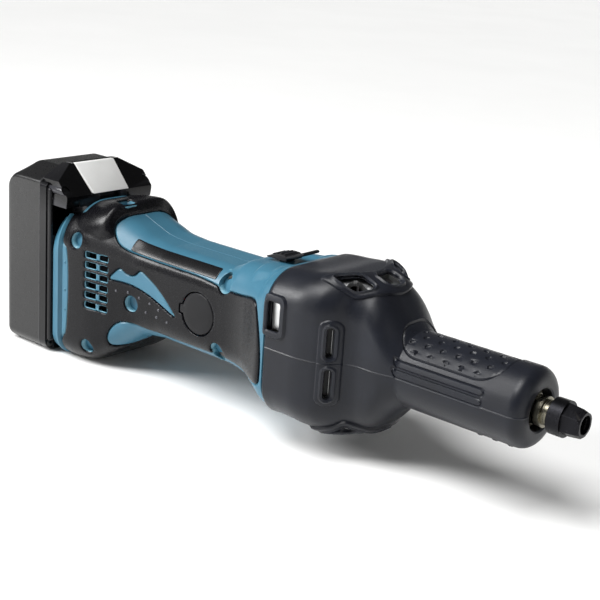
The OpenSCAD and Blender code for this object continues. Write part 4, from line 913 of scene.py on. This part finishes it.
# The battery pack: rounded case, sloped front, grey release button
pack = {
    "chamfer": (15.5, 8.5), "cornerLow": 7, "cornerTop": 3, "rearRound": 6, "ledgeZ": 55.4, "edge": 0.9,
    "step": 1.5, "cornerSteps": 9,
    # the rear falls away from this x, by this much
    "topFall": (-382, 13), "sideFall": (-389.5, 11.5), "fallPower": 1.6,
    # button's low and high edge: x, z, half width
    "button": ((-339.6, 46.9, 14.6), (-357.2, 63.4, 16.2)), "buttonThick": 2.4, "buttonEdge": 0.8,
    "pocketDeep": 7.6, "pocketOut": 12, "pocketMargin": 0.4, "pocketLift": 4,
    # cut in the cover's cheeks: x from and to, y, half width, z from and to
    "cheeks": (-354.4, -330, 30, 11, 5, 39.5),
    # plate behind them: rear, half width, half height. Screw plugs: y, z, radius, rear
    "back": (-358.5, 36.8, 50), "plug": (32.9, 49.5, 2.95, -358),
    "slope": (-341, 46.6, 1.05)}  # foot's x and z, run for a rise


def filletLoop(corners, steps):
    loop = []
    for k, (_, _, r) in enumerate(corners):
        here, before, after = (np.array(corners[j % len(corners)][:2], float) for j in (k, k - 1, k + 1))
        a, b = (before - here) / np.linalg.norm(before - here), (after - here) / np.linalg.norm(after - here)
        half = math.acos(np.clip(a @ b, -1, 1)) / 2
        centre = here + (a + b) / np.linalg.norm(a + b) * r / math.sin(half)
        first, last = here + a * r / math.tan(half) - centre, here + b * r / math.tan(half) - centre
        for t in np.linspace(0, 1, steps):
            spoke = first * (1 - t) + last * t
            loop.append(centre + spoke * r / np.linalg.norm(spoke))
    return np.array(loop)


def loftSkin(rows):
    around = len(rows[0][1])
    points = np.concatenate([np.column_stack([np.full(around, x), loop, np.zeros((around, 2))]) for x, loop in rows])
    faces = ringFaces(len(rows), around)
    last = (len(rows) - 1) * around
    middles = len(points)
    points = np.vstack([points, points[:around].mean(0), points[last:].mean(0)])
    faces += [((j + 1) % around, j, middles) for j in range(around)]
    faces += [(last + j, last + (j + 1) % around, middles + 1) for j in range(around)]
    return points, faces


def caseRows():
    rear, front, half, low, top = caseLow[0], caseHigh[0], caseHigh[1], caseLow[2], caseHigh[2]
    turn = pack["rearRound"]
    xs = [(rear + turn * (1 - math.sin(a)), turn * (1 - math.cos(a))) for a in np.radians(np.arange(90, -1, -9))]
    xs += [(x, 0) for x in np.arange(rear + turn + pack["step"], front - 1, pack["step"])]
    xs += [(front - 0.5, 0), (front - 0.1, 0.4)]
    rows = []
    for x, inset in xs:
        fall, sideFall = (most * max(0, (start - x) / (start - rear)) ** pack["fallPower"]
                          for start, most in (pack["topFall"], pack["sideFall"]))
        wide, high, side = half - inset, top - fall - inset, top - pack["chamfer"][1] - sideFall - 0.6 * inset
        corners = [(-wide + pack["chamfer"][0], high, pack["cornerTop"]), (-wide, side, pack["cornerTop"]),
                   (-wide, low + inset, max(pack["cornerLow"] - inset, 1.5))]
        rows.append((x, filletLoop(corners + [(-y, z, r) for y, z, r in reversed(corners)], pack["cornerSteps"])))
    return rows


def ledgeField(points):
    return np.where(points[:, 2] > 40, np.abs(points[:, 2] - pack["ledgeZ"]), 60)


caseSkin = shapeSkin(loftSkin(caseRows()), [(ledgeField, [0.3, 0.7], [-0.5, 0])])
fitPiece(makePiece("packCase", caseSkin, sharp=40), "battery", "pack_satin", "pack_case")


def buttonCorners(front, rear, margin):
    corners = []
    for (x, z, half), up in zip(pack["button"], (-1, 1)):
        lift = pack["pocketLift"] if margin and up > 0 else 0
        for depth in (front, rear):
            for side in (-1, 1):
                corners.append((x + depth - lift, side * (half + margin), z + up * margin + lift))
    return corners


pocketWork = bmesh.new()
addHull(pocketWork, buttonCorners(pack["pocketOut"], -pack["pocketDeep"], pack["pocketMargin"]), 0)
addPair(pocketWork, *pack["cheeks"], 0)
pocketCutter = solidPiece("pocketCutter", pocketWork)
packCover = roundedCopy("packCover", "pack_cover", pack["edge"], pocketCutter)
fitPiece(packCover, "battery", "pack_gloss", "pack_cover")
backWork = bmesh.new()
backRear, backHalf, backHigh = pack["back"]
addHull(backWork, boxCorners((backRear, -backHalf, -backHigh), (pack["cheeks"][0], backHalf, backHigh)), 1.0)
plugY, plugZ, plugR, plugRear = pack["plug"]
footX, footZ, run = pack["slope"]
ring = [(math.cos(a) * plugR, plugZ + math.sin(a) * plugR) for a in np.radians(np.arange(0, 360, 15))]
for side in (-1, 1):
    addHull(backWork, [(x, side * plugY + y, z) for y, z in ring for x in (plugRear, footX - run * (z - footZ))], 0.5)
fitPiece(solidPiece("coverBack", backWork), "battery", "pack_gloss")
buttonWork = bmesh.new()
addHull(buttonWork, buttonCorners(0.5, -pack["buttonThick"], 0), pack["buttonEdge"])
fitPiece(solidPiece("releaseButton", buttonWork), "release", "button_plastic", "release_button")
print("pack made")


# Two pieces keep their CAD form, with their edges broken as a maker breaks them: node, body
brokenEdges = {"releaseLatch": ("release_latch", "release"), "terminalBlock": ("terminal_block", "housing")}
brokenWidth = 0.4
for name, (node, body) in brokenEdges.items():
    fitPiece(roundedCopy(name, node, brokenWidth), body, slots[node], node)
print("edges broken:", len(brokenEdges))

# The collet nut: the CAD nut drawn a little shorter and further forward, with its front tapered
nut = {"front": 3.8, "long": 0.9, "taper": ([-7, -2, 1, 3.8], [1.07, 1.07, 1.02, 0.88]), "edge": 0.45}
nutPiece = roundedCopy("colletNut", "collet_nut", nut["edge"])
nutFront = boxOf("collet_nut")[1][0]
for point in nutPiece.data.vertices:
    x = nut["front"] + (point.co.x * 1000 - nutFront) * nut["long"]
    less = float(np.interp(x, *nut["taper"]))
    point.co = (x / 1000, point.co.y * less, point.co.z * less)
fitPiece(nutPiece, "nut", slots["collet_nut"], "collet_nut")

# The switch knob: a low thumb hump, its ribs, and the lip that leads onto the boot. Side views: x, z
knob = {
    "half": 6.8, "round": 0.8, "ribs": 4, "ribPitch": 2.8, "ribFrom": -196,
    "rib": (0.6, 1.6, 1, 0.55, 0.4),  # half length, margin at the ends, sunk, proud, edge
    "hump": [(-199.5, 37.6), (-199.5, 38.2), (-195, 39.9), (-190.5, 41), (-186.5, 41), (-184.6, 40.2), (-184.6, 37.9)],
    "lip": [(-186, 38.6), (-186, 40.2), (-173.4, 45.5), (-172, 45.2), (-172.1, 43.9), (-178, 41.3)]}
knobWork = bmesh.new()
for outline in (knob["hump"], knob["lip"]):
    addHull(knobWork, [(x, side * knob["half"], z) for x, z in outline for side in (-1, 1)], knob["round"])
ribHalf, ribMargin, sunk, proud, ribEdge = knob["rib"]
ribReach = knob["half"] - ribMargin
for k in range(knob["ribs"]):
    x = knob["ribFrom"] + k * knob["ribPitch"]
    z = float(np.interp(x, *zip(*knob["hump"][1:5])))
    addHull(knobWork, boxCorners((x - ribHalf, -ribReach, z - sunk), (x + ribHalf, ribReach, z + proud)), ribEdge)
fitPiece(solidPiece("switchKnob", knobWork), "switch_knob", slots["switch_knob"], "switch_knob")

# Dark walls behind the handle's vents, painted shade for the shaded inside, and alloy lands behind the boot's ports:
# x from and to, y, half thickness, z from and to, edge
backs = {
    "ventBacksPaintedShade": ("black_plastic", "housing_plastic", (-333.5, -301.5, 21, 0.6, -22, 20, 0)),
    "portLands": ("cast_alloy", "cast_alloy", (bootRear + 3, bootRear + 11, 37, 0.8, 10.5, 27, 0.7))}
for name, (finish, slot, sizes) in backs.items():
    work = bmesh.new()
    addPair(work, *sizes)
    fitPiece(solidPiece(name, work), "housing", slot, finish=finish)
print("small pieces made")


# Stage: pale floor and backdrop, soft lights, and the camera at the photograph's angle, all in metres
stageLook = {
    "floor": ("#f4f4f3", "#f7f7f6", "#f7f7f6"), "size": 60.0, "wallAway": 11.0, "wallHigh": 1.5, "wallSides": 120,
    "world": 0.12, "aim": (-0.2, 0, 0),
    # lights: place, strength, width across, which is in degrees for the sky
    "sky": ((-0.45, -0.6, 1.2), 3.2, 34), "keyLight": ((-1.0, -0.83, 0.64), 14, 0.5),
    "sideLight": ((-0.7, -1.1, 0.15), 1.5, 0.6), "fillLight": ((0.9, -0.2, 0.4), 1.0, 0.8),
    "cameraAt": (0.25079, -0.51455, 0.22590), "azimuth": 39.829, "elevation": 17.400, "roll": 4.034, "lens": 74.98}
floorMesh = bpy.data.meshes.new("floor")
half = stageLook["size"] / 2
floorMesh.from_pydata([(-half, -half, 0), (half, -half, 0), (half, half, 0), (-half, half, 0)], [], [(0, 1, 2, 3)])
floorMesh.transform(Matrix.Translation((stageLook["aim"][0], 0, cadBox[0][2])))
floorPaint = makeFinish("floorPaintPale", stageLook["floor"], 0.0, (300, 4, 0.01), (0.8, 0.9), {})
wallMesh = bpy.data.meshes.new("backdrop")
away, sides = stageLook["wallAway"], stageLook["wallSides"]
wallRing = [(math.cos(a) * away, math.sin(a) * away) for a in np.radians(np.arange(sides) * 360 / sides)]
wallMesh.from_pydata([(x, y, z) for x, y in wallRing for z in (-0.1, stageLook["wallHigh"])], [], [
    (2 * j, 2 * j + 1, (2 * j + 3) % (2 * sides), (2 * j + 2) % (2 * sides)) for j in range(sides)])
for mesh in (floorMesh, wallMesh):
    mesh.materials.append(floorPaint)
    addObject(mesh.name, mesh)

for name in ("sky", "keyLight", "sideLight", "fillLight"):
    place, strength, wide = stageLook[name]
    lamp = bpy.data.lights.new(name, "SUN" if name == "sky" else "AREA")
    lamp.energy = strength
    if name == "sky":
        lamp.angle = math.radians(wide)
    else:
        lamp.shape, lamp.size = "DISK", wide
    holder = addObject(name, lamp)
    holder.location = place
    holder.rotation_euler = (Vector(stageLook["aim"]) - Vector(place)).to_track_quat("-Z", "Y").to_euler()
world = bpy.data.worlds.new("studioAir")
world.use_nodes = True
air = world.node_tree.nodes["Background"].inputs
air["Color"].default_value = hexColour("#ffffff")
air["Strength"].default_value = stageLook["world"]
bpy.context.scene.world = world
bpy.context.scene.view_settings.view_transform = "Standard"

turn, rise, roll = (math.radians(stageLook[key]) for key in ("azimuth", "elevation", "roll"))
forward = Vector((-math.sin(turn) * math.cos(rise), math.cos(turn) * math.cos(rise), -math.sin(rise)))
right = Vector((math.cos(turn), math.sin(turn), 0))
upward = right.cross(forward)
right, upward = right * math.cos(roll) + upward * math.sin(roll), upward * math.cos(roll) - right * math.sin(roll)
lensData = bpy.data.cameras.new("photoCamera")
lensData.sensor_width, lensData.lens = 36.0, stageLook["lens"]
camera = addObject("photoCamera", lensData)
camera.matrix_world = Matrix((right, upward, -forward)).transposed().to_4x4()
camera.location = stageLook["cameraAt"]
bpy.context.scene.camera = camera
